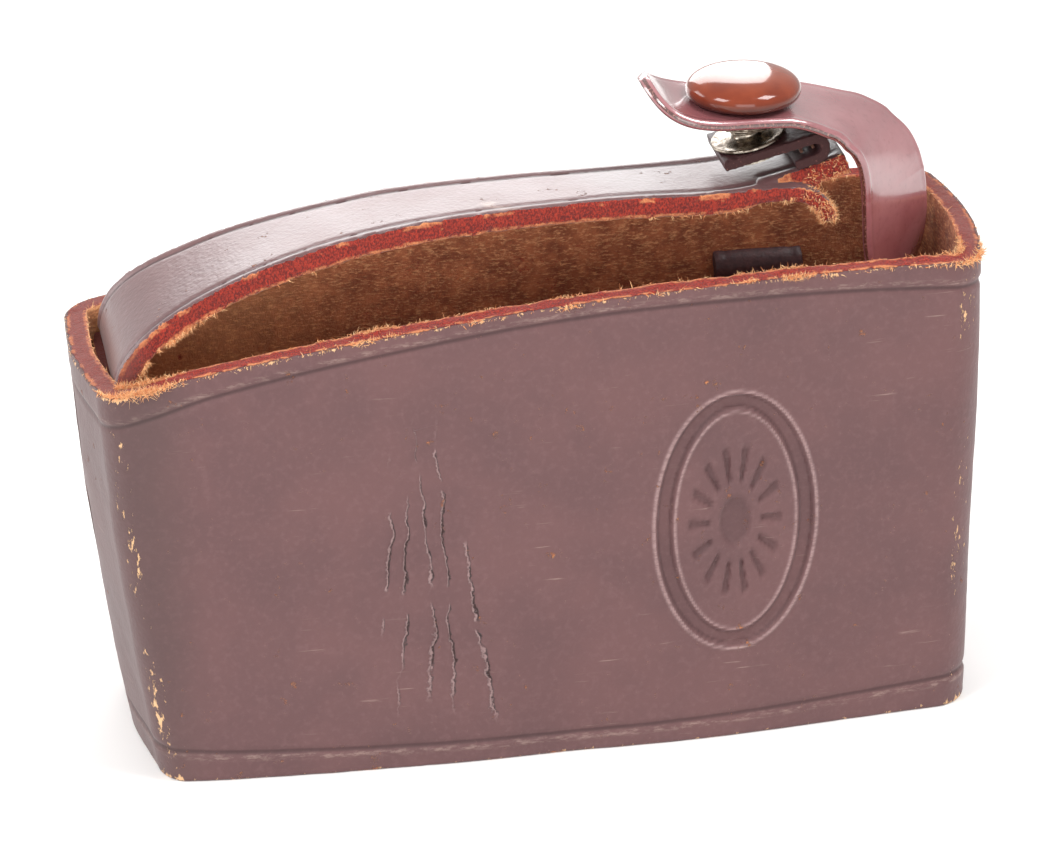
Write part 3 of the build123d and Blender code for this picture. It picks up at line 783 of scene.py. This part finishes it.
def oval_relief(x, z):
    """Pressed oval channel with a plain sunburst inside it, and where painted shade and painted highlights go
    on it.
    """
    across, up = (x - OVAL_X) / OVAL_HALF_WIDTH, (z - OVAL_Z) / OVAL_HALF_HEIGHT
    ratio = np.maximum(np.hypot(across, up), 0.02)
    steepness = np.hypot(across / OVAL_HALF_WIDTH, up / OVAL_HALF_HEIGHT) / ratio
    outside = (ratio - 1) / steepness
    channel = smooth_step(outside, -2.2, -1.8) - smooth_step(outside, -0.4, 0.0)
    ridges = bell(outside - 0.3, 0.3) + 0.8 * bell(outside + 2.5, 0.3)
    angle = np.arctan2(up, across)
    ray = smooth_step(np.cos(SUNBURST_RAYS * angle), 0.25, 0.8)
    rays = ray * smooth_step(ratio, 0.3, 0.34) * smooth_step(ratio, 0.62, 0.56)
    disc = smooth_step(ratio, 0.22, 0.17)
    walls = bell(outside + 2.0, 0.3) + bell(outside + 0.2, 0.3)
    # painted light: above 0 is painted shade in the channel's walls and the sunburst, below 0 a painted
    # highlight on the ridges
    dirt = np.clip(0.9 * walls + 0.6 * (rays + disc) - 1.2 * ridges, -1, 1)
    return -0.55 * channel + 0.2 * ridges - 0.45 * (rays + disc), dirt


CRACK_X = (-24.6, -21.8, -19.2, -16.4, -13.0)
CRACK_LEAN = (0.07, 0.06, -0.03, -0.05, -0.14)
CRACK_CENTRE_Z = (33.0, 25.0, 31.0, 29.0, 20.0)
CRACK_REACH = (16.0, 20.0, 23.0, 23.0, 16.0)


def crack_fields(x, z):
    """Crack coordinate, a whole number on each crack, and how far the nearest crack gapes."""
    lines = []
    for index, (middle, lean) in enumerate(zip(CRACK_X, CRACK_LEAN)):
        heights = np.column_stack([np.full_like(z, 3.7 * index), np.zeros_like(z), z])
        wander = 0.9 * lattice_noise(heights / 7.0, 40 + index)
        wander += 0.4 * lattice_noise(heights / 2.2, 60 + index)
        lines.append(middle + lean * (z - 30) + wander)
    lines = [lines[0] - 3.0] + lines + [lines[-1] + 3.0]
    coordinate = np.zeros_like(x)
    for index in range(len(lines) - 1):
        gap = lines[index + 1] - lines[index]
        coordinate += np.clip((x - lines[index]) / gap, 0, 1)
    nearest = np.clip(np.round(coordinate).astype(int), 1, len(CRACK_X)) - 1
    centre, reach = np.array(CRACK_CENTRE_Z)[nearest], np.array(CRACK_REACH)[nearest]
    envelope = smooth_step(np.abs(z - centre) / reach, 1.0, 0.55)
    along = np.column_stack([nearest * 9.1, np.zeros_like(z), z])
    broken = 0.5 + 0.9 * lattice_noise(along / 5.0, 80) + 0.5 * lattice_noise(along / 1.6, 90)
    inside = (coordinate > 0.4) & (coordinate < len(lines) - 1.4)
    return coordinate, np.where(inside, envelope * np.clip(broken, 0, 1), 0)


CORNER_DRAW = 2.2


def draw_in_corner(points):
    """The front left corner is drawn in: how far each point moves to the right."""
    x, y = points[:, 0], points[:, 1]
    return CORNER_DRAW * smooth_step(y, 2.0, -15.0) * smooth_step(x, -46.0, -58.0)


TOP_LINE_DROP, TOP_LINE_SAG = 2.1, 1.7
BASE_LINE_RISE, BASE_LINE_SAG = 3.0, 1.4
NOT_TOOLED = 9.0  # "tooled" is the distance from a pressed line, and this is far from all of them


def level_outward(points):
    """Level direction away from the case's inside at each point, from how its depth changes."""
    step_x, step_y = np.array((0.05, 0, 0)), np.array((0, 0.05, 0))
    outward = np.column_stack([
        depth_below_grain(points - step_x) - depth_below_grain(points + step_x),
        depth_below_grain(points - step_y) - depth_below_grain(points + step_y),
        np.zeros(len(points)),
    ])
    return outward / np.maximum(np.linalg.norm(outward, axis=1, keepdims=True), 1e-6)


def tooled_lines(points):
    """Distance below the top edge, below the line pressed under it, and above the line at the base."""
    x, y, z = points.T
    from_top = top_edge(x, y) - z
    top_line = from_top - TOP_LINE_DROP - TOP_LINE_SAG * (x / 55) ** 2
    base_line = z - BASE_LINE_RISE - BASE_LINE_SAG * (x / 50) ** 2
    return from_top, top_line, base_line


def corner_wear(points, skin, from_top):
    """How worn the grain is: most at the four upright corners and along the edges."""
    x, y, z = points.T
    near_right = np.abs(x - (RIGHT_X - 0.4)) < 2.4
    near_left = np.abs(x - outline_numbers(z)[0] - 0.4) < 2.4
    corner_x = np.maximum(near_right, near_left)
    corner = skin * corner_x * smooth_step(np.abs(y), HALF_DEPTH - 3.4, HALF_DEPTH - 0.6)
    edges = skin * (bell(from_top, 0.7) + 0.8 * bell(z, 0.8))
    fade = 0.55 + 0.45 * fractal(points, 12.0, 31, 2)
    return np.clip(1.1 * corner * fade + edges, 0, 1.3)


def tool_sleeve(sleeve):
    """Presses in the tooled lines, the oval and the cracks, and makes the leather uneven and worn."""
    points, _ = points_of(sleeve)
    x, y, z = points.T
    depth = depth_below_grain(points)
    from_top, top_line, base_line = tooled_lines(points)
    skin = smooth_step(depth, 0.3, 0.05)
    front = skin * smooth_step(-y, HALF_DEPTH - 1.0, HALF_DEPTH)
    back = skin * smooth_step(y, HALF_DEPTH - 1.0, HALF_DEPTH)
    coordinate, gape = crack_fields(x, z)
    from_crack = coordinate - np.round(coordinate)
    pressed, dirt = oval_relief(x, z)

    relief = 0.22 * fractal(points, 22.0, 3, 2) + skin * 0.05 * fractal(points, 3.0, 5, 2)
    for line, raised, sunk in ((top_line, 0.12, 0.28), (base_line, 0.10, 0.26)):
        relief += skin * (raised * smooth_step(line, 0.4, -0.4) - sunk * bell(line, 0.45))
    relief += front * pressed
    curled = gape * bell(np.abs(from_crack) - 0.25, 0.1)
    relief += front * (0.10 * curled - 0.16 * (bell(from_crack, 0.12) * gape))
    lap_edge = x - (SEAM_X + SEAM_LAP / 2 + 2.2)
    relief += back * (-0.35 * bell(lap_edge, 0.45) - 0.18 * smooth_step(lap_edge, -0.2, 0.4))
    # what stands proud is held back, the more the higher it stands
    relief = np.where(relief > 0, relief * smooth_step(relief, 2.0, 0.0), relief)

    rim = smooth_step(depth, 0.05, 0.3) * smooth_step(depth, LEATHER + 0.05, LEATHER - 0.1)
    at_top = rim * (from_top < 0.5)
    frayed = 0.16 * fractal(points, 1.3, 11, 3) + 0.1 * fractal(points, 6.0, 12, 2) - 0.05
    inside = smooth_step(depth, LEATHER - 0.1, LEATHER)
    nap = inside * 0.12 * fractal(points, 1.8, 21, 3)
    moved = points + level_outward(points) * (relief - nap)[:, None]
    moved[:, 2] += at_top * frayed + rim * (z < 0.5) * np.maximum(0.08 * fractal(points, 1.5, 14, 2), 0)
    moved[:, 0] += draw_in_corner(points)
    move_points(sleeve, moved)
    tooled = np.where(z > 30, -top_line, -base_line) * skin + NOT_TOOLED * (1 - skin)
    store(sleeve, depth=depth, crack_line=coordinate, crack_open=front * gape, dirt=front * dirt,
          tooled=tooled, wear=corner_wear(points, skin, from_top))
sleeve = cut_slots(sleeve_grid())
tool_sleeve(sleeve)
finish_piece(sleeve, SLEEVE_LEATHER)
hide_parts("outer_sleeve")
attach(sleeve, "case")


# ---------------------------------------------------------------- inner tray
def tray_piece():
    """The tray glued inside: suede, and raw at its cut edges."""
    piece = softened_copy("inner_tray", "tray", 0.7)
    points, normals = points_of(piece)
    moved = points + normals * (0.12 * fractal(points, 1.8, 22, 3) - 0.06)[:, None]
    moved[:, 0] += draw_in_corner(points)
    moved[:, 2] = np.maximum(moved[:, 2], 0)
    move_points(piece, moved)
    x, y, z = points.T
    leg_rim = np.maximum(smooth_step(normals[:, 2], 0.55, 0.9) * (z > 40), np.abs(normals[:, 1]) > 0.6)
    store(piece, depth=np.where(leg_rim > 0.5, 1.6, LEATHER + 0.5))
    return piece


tray = finish_piece(tray_piece(), SLEEVE_LEATHER)
unused = np.zeros(len(tray.data.vertices))
store(tray, crack_line=unused, crack_open=unused, wear=unused, dirt=unused, tooled=unused + NOT_TOOLED)
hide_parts("inner_tray")
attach(tray, "case")


# ---------------------------------------------------------------- cover flap
FLAP_LINE = (
    (-59.1, 55.45), (-58.6, 59.0), (-56.2, 62.5), (-50.5, 66.4), (-41.0, 70.3), (-29.0, 73.4),
    (-15.0, 75.3), (0.0, 75.9), (14.0, 75.9), (25.0, 76.0), (33.0, 77.5), (40.2, 79.7),
)
FLAP_PLAN_X = (-70.0, -57.0, -48.0, -30.0, -8.0, 8.0, 28.0, 28.6, 45.0)
FLAP_PLAN_HALF_WIDTH = (12.0, 12.0, 10.0, 8.6, 7.5, 7.0, 7.0, 5.2, 5.2)


def distance_to_line(points, line):
    """Distance in the front view from each point to a line of (x, z)."""
    nearest = np.full(len(points), 1e9)
    flat = points[:, [0, 2]]
    for start, end in zip(line[:-1], line[1:]):
        run = end - start
        share = np.clip((flat - start) @ run / (run @ run), 0, 1)
        nearest = np.minimum(nearest, np.linalg.norm(flat - start - share[:, None] * run, axis=1))
    return nearest


def flap_piece():
    """Arched cover flap with a tooled line along its edges and frayed cut sides."""
    piece = softened_copy("cover_flap", "flap", 0.42, 2)
    points, normals = points_of(piece)
    x, y, z = points.T
    depth = distance_to_line(points, curve_through(FLAP_LINE, 160))
    half_width = np.interp(x, FLAP_PLAN_X, FLAP_PLAN_HALF_WIDTH)
    from_edge = half_width - np.abs(y)
    on_lip = (np.abs(y) > 5.3) & (x > 29)
    depth = np.where(on_lip, np.where(normals[:, 0] + normals[:, 2] > 0.35, 0.0, 1.6), depth)
    skin = smooth_step(depth, 0.45, 0.15) * smooth_step(x, 40.0, 38.0)
    relief = 0.1 * fractal(points, 14.0, 33, 2)
    relief += skin * (-0.24 * bell(from_edge - 1.9, 0.45) + 0.1 * bell(from_edge - 1.0, 0.6))
    side = smooth_step(np.abs(normals[:, 1]), 0.5, 0.8)
    relief += side * (0.16 * fractal(points, 1.3, 35, 3) - 0.05)
    under = smooth_step(depth, LEATHER - 0.5, LEATHER - 0.2)
    relief += under * 0.12 * fractal(points, 1.8, 37, 3)
    moved = points + normals * relief[:, None]
    lean = smooth_step(x, -50.0, -25.0) * smooth_step(x, 24.0, 8.0)
    moved[:, 2] -= 0.05 * y * lean
    move_points(piece, moved)
    grain_edge = np.where(side > 0.5, np.maximum(depth, 0.5), depth)
    store(piece, depth=np.where((depth < 0.45) & (side < 0.5), 0.0, grain_edge), tooled=from_edge - 1.9)
    return piece


flap = finish_piece(flap_piece(), FLAP_LEATHER)
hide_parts("cover_flap")
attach(flap, "cover")


# ---------------------------------------------------------------- stud tab
TAB_HALF_WIDTH = 5.5


def tab_piece():
    """The folded tab that carries the stud."""
    piece = softened_copy("stud_tab", "tab", 0.25, 3)
    points, normals = points_of(piece)
    move_points(piece, points + normals * (0.05 * fractal(points, 2.0, 41, 3))[:, None])
    store(piece, from_edge=TAB_HALF_WIDTH - np.abs(points[:, 1]))
    return piece


tab = finish_piece(tab_piece(), TAB_LEATHER)
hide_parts("stud_tab")
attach(tab, "cover")


# ---------------------------------------------------------------- strap
STRAP_LOWER = (
    (49.55, 29, 90, 0), (49.55, 35, 90, 0), (49.55, 41, 90, 0), (49.55, 47, 90, 0), (49.55, 50, 84, 0.5),
    (49.45, 54, 73, 1), (49.3, 58, 61, 1.5), (49.1, 62, 50, 2), (48.94, 66.2, 45, 2.5),
    (48.75, 69.5, 45, 4), (48.45, 72.5, 46, 7),
)
STRAP_UPPER = (
    (48.45, 72.5, 46, 7), (47.9, 75.3, 49, 13), (46.9, 77.9, 53, 22), (45.3, 80.0, 58, 32),
    (44.3, 81.0, 58, 46), (43.1, 81.95, 62, 56), (41.6, 82.85, 66, 62), (39.9, 83.4, 71, 68),
    (38.1, 84.05, 76, 71), (36.2, 84.65, 80.5, 75), (34.4, 85.1, 84.5, 79), (32.2, 85.5, 88, 85),
    (28, 85.7, 90, 90), (24, 85.75, 90, 88), (21.4, 85.95, 90, 82), (19.2, 86.4, 90, 75),
    (17.4, 87.05, 90, 66), (15.9, 87.95, 90, 54), (14.7, 89.1, 90, 43), (13.7, 90.5, 90, 34),
)
STRAP_WIDTH, TIP_LENGTH = 16.0, 8.5
STRAP_BEND = (48.45, 0, 72.5)  # where the two pieces meet
# places across the strap from edge to edge, closest near the edges
ACROSS = np.concatenate([
    np.linspace(-1, -0.86, 8), np.linspace(-0.86, 0.86, 26)[1:-1], np.linspace(0.86, 1, 8),
])


def strap_section(x, z, turn, pitch, half_width):
    """One loop round the strap: its points, their depth below the grain and distance from the edge."""
    width_way = np.array((cos(turn), sin(turn), 0))
    strap_way = np.array((-sin(turn) * sin(pitch), cos(turn) * sin(pitch), cos(pitch)))
    flesh_way = np.cross(strap_way, width_way)
    half_thick = STRAP_LEATHER / 2
    points, depth, from_edge = [], [], []
    for side in (-1, 1):
        for place in ACROSS[:: -side]:
            offset = place * half_width
            to_edge = half_width - abs(offset)
            rounding = 0.45 * max(1 - to_edge / 0.6, 0) ** 2
            groove = 0.07 * float(bell(to_edge - 1.3, 0.3)) if side < 0 else 0.0
            thick = side * (half_thick - rounding * half_thick * 1.6 - groove)
            points.append(np.array((x, 0, z)) + offset * width_way + thick * flesh_way)
            depth.append(half_thick + thick)
            from_edge.append(to_edge)
    return points, depth, from_edge


def strap_piece(name, stations, count, rounded_tip):
    """Length of strap through stations of (x, z, turn, pitch), with rounded edges and a soft ripple."""
    rows = curve_through(stations, count)
    travelled = length_so_far(rows)
    points, depth, from_edge = [], [], []
    for (x, z, turn, pitch), so_far in zip(rows, travelled):
        half_width = STRAP_WIDTH / 2
        if rounded_tip:
            left_over = max(travelled[-1] - so_far, 0.0)
            half_width *= np.sqrt(max(1 - max(1 - left_over / TIP_LENGTH, 0) ** 2.4, 0.004))
        section = strap_section(x, z, radians(turn), radians(pitch), half_width)
        for whole, part in zip((points, depth, from_edge), section):
            whole += part
    piece = new_piece(name, points, capped_tube(count, 2 * len(ACROSS)))
    grain_side = np.array(depth) < STRAP_LEATHER / 2
    place, normals = points_of(piece)
    ripple = 0.10 * fractal(place, 9.0, 51, 2) * smooth_step(np.array(from_edge), 0.0, 3.0)
    ripple *= smooth_step(np.linalg.norm(place - np.array(STRAP_BEND), axis=1), 8.0, 12.0)
    move_points(piece, place + normals * (ripple * np.where(grain_side, 1, -1))[:, None])
    store(piece, depth=depth, from_edge=from_edge)
    return finish_piece(piece, STRAP_MATERIAL, 50)


strap_lower = strap_piece("strap_lower", STRAP_LOWER, 110, False)
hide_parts("strap_root")
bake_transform(strap_lower)

strap_upper = strap_piece("strap_upper", STRAP_UPPER, 190, True)
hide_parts("strap_riser", "strap_end")
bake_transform(strap_upper)


# ---------------------------------------------------------------- snap
def arc(radius, centre, start, end, steps):
    """Part of a circle in a lathe profile, with its angles in degrees."""
    angles = np.radians(np.linspace(start, end, steps))
    return [(centre[0] + radius * cos(a), centre[1] + radius * sin(a)) for a in angles]


CAP_RADIUS, CAP_RIM_Z, CAP_DOME = 7.7, 1.6, 2.4


def cap_piece():
    """Enamelled dome of the snap with a rolled rim and a post down through the strap."""
    profile = [(1.55, -1.9), (1.55, 0.0)]
    for turn in np.radians(np.linspace(-88, 89.5, 44)):
        rise, fullness = (CAP_DOME, 0.62) if turn > 0 else (CAP_RIM_Z, 0.3)
        height = CAP_RIM_Z + rise * np.sign(turn) * abs(sin(turn)) ** 0.9
        profile.append((CAP_RADIUS * max(cos(turn), 0.0) ** fullness, height))
    piece = lathe("cap", profile, (SNAP_X, 0, STRAP_TOP_Z), sides=128)
    return finish_piece(piece, ENAMEL, 60)


cap = cap_piece()
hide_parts("snap_cap")
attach(cap, "strap_end")


def socket_piece():
    """Pressed socket under the strap with a rolled lip and a ringed face."""
    top = STRAP_TOP_Z - STRAP_LEATHER - 0.05 - SOCKET_Z
    profile = [(1.7, top), (5.2, top)]
    profile += arc(0.24, (5.5, top - 0.24), 90, -80, 8)
    profile += [(4.95, top - 0.55), (4.8, top - 0.8)]
    for ridge in range(3):
        profile += arc(0.13, (4.7, top - 0.92 - 0.26 * ridge), 80, -80, 5)
    profile += [(4.3, 0.02), (4.05, 0.1), (3.95, 0.4), (3.95, top - 0.45), (1.7, top - 0.45)]
    piece = lathe("socket", profile[::-1], (SNAP_X, 0, SOCKET_Z), ring=True)
    return finish_piece(piece, NICKEL, 60)


socket = socket_piece()
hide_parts("snap_socket")
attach(socket, "strap_end")


def stud_piece():
    """Stud with a flange, a waisted post and a ridged head."""
    profile = [(1.25, 0.0), (4.8, 0.0)]
    profile += arc(0.26, (4.9, 0.26), -80, 90, 8)
    profile += [(4.5, 0.46), (3.6, 0.42), (3.3, 0.6), (2.3, 0.66)]
    profile += arc(0.55, (2.45, 1.2), -110, -180, 6)
    for ridge in range(3):
        profile += arc(0.2, (2.0, 1.45 + 0.36 * ridge), -90, 90, 5)
    profile += [(2.1, 2.5), (1.9, 2.75), (1.5, 2.85), (1.25, 2.7)]
    piece = lathe("stud", profile, STUD_BASE, STUD_TILT)
    return finish_piece(piece, NICKEL, 60)


stud = stud_piece()
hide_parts("snap_stud")
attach(stud, "cover")

for node, material in (
    ("stud_eyelet", NICKEL_CAD), ("snap_spring", SPRING_CAD), ("strap_rivets", BRASS_CAD),
    ("belt_loop_rivets", BRASS_CAD),
):
    cad_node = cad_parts[node]
    cad_node.data.materials.clear()
    cad_node.data.materials.append(material)


# ---------------------------------------------------------------- belt loop
def belt_loop_piece():
    """Thin strip hooked through the back wall, with a pressed line along each edge."""
    piece = softened_copy("belt_loop", "belt_strap", 0.4, 3)
    points, normals = points_of(piece)
    from_edge = LOOP_WIDTH / 2 - np.abs(points[:, 0] - LOOP_X)
    skin = smooth_step(from_edge, 0.0, 0.6)
    relief = 0.08 * fractal(points, 6.0, 61, 3) - 0.12 * skin * bell(from_edge - 1.6, 0.4)
    move_points(piece, points + normals * relief[:, None])
    store(piece, from_edge=from_edge)
    return piece


# the belt loop takes the tab's leather, whose dark colour is painted shade
belt_strap = finish_piece(belt_loop_piece(), TAB_LEATHER)
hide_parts("belt_loop")
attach(belt_strap, "case")


# ---------------------------------------------------------------- thread
def stitch(start, end, radius, bulge):
    """Points and faces of one twisted two-ply stitch that rises out of the leather in its middle."""
    start, end = np.array(start, float), np.array(end, float)
    way = end - start
    length = np.linalg.norm(way)
    way /= length
    side = np.cross(bulge, way)
    rise = np.cross(way, side)
    points, rings, sides = [], 13, 12
    for ring in range(rings):
        share = ring / (rings - 1)
        swell = radius * (0.35 + 0.65 * sin(pi * min(max(share, 0.04), 0.96)) ** 0.4)
        middle = start + way * length * share + np.array(bulge) * 0.35 * sin(pi * share)
        for step in range(sides):
            angle = 2 * pi * step / sides
            ply = swell * (1 + 0.16 * cos(2 * angle + 7 * share))
            points.append(middle + ply * (cos(angle) * side + sin(angle) * rise))
    return points, capped_tube(rings, sides)


def seam_surface(z):
    """Where the back wall's surface lies along the sewn seam, at height z."""
    return HALF_DEPTH + SEAM_BULGE - SEAM_BULGE_LOSS * z / SEAM_TOP_Z


seam_parts = [
    stitch((x, seam_surface(z) - 0.1, z - 1.5), (x, seam_surface(z) - 0.1, z + 1.5), 0.42, (0, 1, 0))
    for x in (SEAM_X - SEAM_LAP / 2, SEAM_X + SEAM_LAP / 2) for z in STITCH_ROWS_Z
]
seam = finish_piece(joined("seam_thread", seam_parts), THREAD)
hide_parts("seam_stitches")
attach(seam, "case")

tab_parts = [
    stitch((x, y - 1.05, z), (x, y + 1.05, z), 0.28, (-0.29, 0, 0.96))
    for x, z in ((34.7, 79.65), (36.3, 80.15)) for y in (-2.4, 0.0, 2.4)
]
tab_thread = finish_piece(joined("tab_thread", tab_parts), THREAD)
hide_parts("tab_stitches")
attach(tab_thread, "cover")


# ---------------------------------------------------------------- loose fibres
RIM_FIBRE_COUNT, FLAP_FIBRE_COUNT = 4600, 3400
LEFT_TUFT, RIGHT_TUFT = (-57.0, -15.5), (56.5, -14.5)


def fibre_tufts(name, roots, directions, lengths, rng):
    """Short curled strands, each a thin closed taper."""
    count, rings, sides = len(roots), 4, 3
    directions = unit(directions)
    side = unit(np.cross(directions, rng.normal(size=(count, 3))))
    other = np.cross(directions, side)
    curl = rng.normal(scale=0.45, size=(count, 1))
    radius = rng.uniform(0.035, 0.09, (count, 1))
    points = np.empty((count, rings * sides, 3))
    for ring in range(rings):
        share = ring / (rings - 1)
        middle = roots + directions * lengths * (share - 0.2) + side * curl * lengths * share**2
        for step in range(sides):
            angle = 2 * pi * step / sides
            grown = radius * (1 - 0.85 * share)
            points[:, ring * sides + step] = middle + grown * (cos(angle) * side + sin(angle) * other)
    pattern = capped_tube(rings, sides)
    faces = [tuple(index + strand * rings * sides for index in face)
             for strand in range(count) for face in pattern]
    piece = new_piece(name, points.reshape(-1, 3), faces)
    store(piece, tint=np.repeat(rng.uniform(0, 1, count), rings * sides))
    return finish_piece(piece, FIBRES)


def scatter_roots(rng, place, weight, count, root_scatter, way_scatter, longest):
    """Draws fibre roots by weight: which places, the roots, a random direction and a length for each."""
    chosen = rng.choice(len(place), count, p=weight / weight.sum())
    roots = place[chosen] + rng.normal(scale=root_scatter, size=(count, 3))
    ways = rng.normal(scale=way_scatter, size=(count, 3))
    return chosen, roots, ways, rng.uniform(0.3, longest, (count, 1))


def rim_fibres():
    """Fibres along the sleeve's top edge, thick at its two front corners."""
    rng = np.random.default_rng(5)
    points, normals = points_of(sleeve)
    # depth and top edge are known for the sleeve before its corner was drawn in
    before = points.copy()
    before[:, 0] -= draw_in_corner(points)
    depth = depth_below_grain(before)
    from_top = top_edge(before[:, 0], before[:, 1]) - before[:, 2]
    near_face = np.maximum(bell(depth - 0.15, 0.25), bell(depth - 2.9, 0.25))
    candidates = np.flatnonzero((from_top < 0.35) & (near_face > 0.4))
    place = points[candidates]
    left_corner = bell(np.linalg.norm(place[:, :2] - LEFT_TUFT, axis=1), 3.4)
    right_corner = bell(np.linalg.norm(place[:, :2] - RIGHT_TUFT, axis=1), 4.0)
    clumps = np.clip(fractal(place, 5.0, 71, 2) - 0.25, 0, 1)
    weight = 0.08 + clumps * (1 + 2 * (place[:, 1] < 0)) + 12.0 * left_corner + 2.5 * right_corner
    chosen, roots, ways, lengths = scatter_roots(rng, place, weight, RIM_FIBRE_COUNT, 0.12, 0.6, 0.9)
    outward = np.where(depth[candidates][chosen] < 1.5, 1.0, -1.0)[:, None] * normals[candidates][chosen]
    directions = 0.5 * (outward * (1, 1, 0)) + ways + (0, 0, 0.25)
    corner = np.maximum(left_corner, right_corner)[chosen][:, None]
    return fibre_tufts("rim_fibres", roots - (0, 0, 0.05), directions, lengths * (1 + 0.8 * corner), rng)


def flap_fibres():
    """Tan fringe along the lower edges of the flap's two sides, and at its lips."""
    rng = np.random.default_rng(9)
    points, normals = points_of(flap)
    depth = distance_to_line(points, curve_through(FLAP_LINE, 160))
    half_width = np.interp(points[:, 0], FLAP_PLAN_X, FLAP_PLAN_HALF_WIDTH)
    at_side = half_width - np.abs(points[:, 1]) < 0.35
    low_edge = at_side & (np.abs(depth - LEATHER) < 0.35) & (points[:, 0] > -56)
    lip = (np.abs(points[:, 1]) > 5.0) & (points[:, 0] > 35.0)
    candidates = np.flatnonzero(low_edge | lip)
    place = points[candidates]
    weight = 0.15 + np.clip(fractal(place, 4.0, 75, 2), 0, 1) * (1 - 0.6 * (place[:, 0] > 34))
    weight += 3.0 * bell(place[:, 0] + 52.0, 3.5)
    chosen, roots, ways, lengths = scatter_roots(rng, place, weight, FLAP_FIBRE_COUNT, 0.1, 0.5, 1.0)
    directions = 0.6 * normals[candidates][chosen] + ways - (0, 0, 0.3)
    return fibre_tufts("flap_fibres", roots, directions, lengths, rng)


rim_tufts = rim_fibres()
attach(rim_tufts, "case")
flap_tufts = flap_fibres()
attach(flap_tufts, "cover")


# ---------------------------------------------------------------- floor, light and camera
def floor_material():
    """Plain pale paper."""
    recipe = Recipe("pale_floor", True, Specular_IOR_Level=0.1)
    cloud = recipe.noise(300.0, 2.0)
    colour = recipe.mix(cloud, (0.93, 0.92, 0.91, 1), (0.9, 0.895, 0.89, 1))
    return recipe.finish(colour, recipe.step(cloud, 0, 1, 0.8, 0.9), recipe.times(cloud, 0.01))


FLOOR_SIZE, FLOOR_Z, FLOOR_SIDE = 4000.0, -0.03, 9
floor_steps = np.linspace(-FLOOR_SIZE / 2, FLOOR_SIZE / 2, FLOOR_SIDE)
floor_points = [(x, y, FLOOR_Z) for y in floor_steps for x in floor_steps]
floor_faces = [
    (corner, corner + 1, corner + FLOOR_SIDE + 1, corner + FLOOR_SIDE)
    for row in range(FLOOR_SIDE - 1) for corner in range(row * FLOOR_SIDE, (row + 1) * FLOOR_SIDE - 1)
]
floor = new_piece("floor", floor_points, floor_faces)
floor.data.materials.append(floor_material())

world = bpy.data.worlds.new("studio")
world.use_nodes = True
sky = world.node_tree.nodes["Background"]
sky.inputs["Color"].default_value = (1.0, 0.985, 0.97, 1)
sky.inputs["Strength"].default_value = 0.64
scene.world = world
scene.view_settings.view_transform = "Standard"


def soft_light(name, place, target, size, power):
    """Square soft box, with its place and target in millimetres."""
    light = bpy.data.lights.new(name, "AREA")
    light.size = size * MM
    light.energy = power
    lamp = bpy.data.objects.new(name, light)
    lamp.location = Vector(place) * MM
    lamp.rotation_euler = (Vector(target) - Vector(place)).to_track_quat("-Z", "Y").to_euler()
    scene.collection.objects.link(lamp)


soft_light("back_window", (40, 950, 430), (0, 0, 60), 580, 4.9)
soft_light("left_window", (-900, 480, 420), (0, 0, 60), 500, 3.6)
soft_light("upper_right_box", (360, -160, 700), (0, 0, 40), 260, 2.8)
soft_light("upper_left_box", (-520, -250, 620), (0, 0, 30), 300, 3.0)
soft_light("low_front_box", (-120, -900, 140), (0, 0, 30), 600, 3.0)

CAMERA_AZIMUTH, CAMERA_ELEVATION, CAMERA_ROLL = radians(-10.26), radians(25.50), radians(-0.51)
CAMERA_TARGET, CAMERA_DISTANCE = Vector((-2.56, 0, 41.22)), 574.66
away = Vector((
    sin(CAMERA_AZIMUTH) * cos(CAMERA_ELEVATION), -cos(CAMERA_AZIMUTH) * cos(CAMERA_ELEVATION),
    sin(CAMERA_ELEVATION),
))
level = Vector((cos(CAMERA_AZIMUTH), sin(CAMERA_AZIMUTH), 0))
upward = away.cross(level)
right = level * cos(CAMERA_ROLL) + upward * sin(CAMERA_ROLL)
upright = upward * cos(CAMERA_ROLL) - level * sin(CAMERA_ROLL)
camera_data = bpy.data.cameras.new("camera")
camera_data.sensor_width = 36.0
camera_data.lens = 144.0
camera = bpy.data.objects.new("camera", camera_data)
turned = Matrix((right, upright, away)).transposed().to_4x4()
camera.matrix_world = Matrix.Translation((CAMERA_TARGET + away * CAMERA_DISTANCE) * MM) @ turned
scene.collection.objects.link(camera)
scene.camera = camera
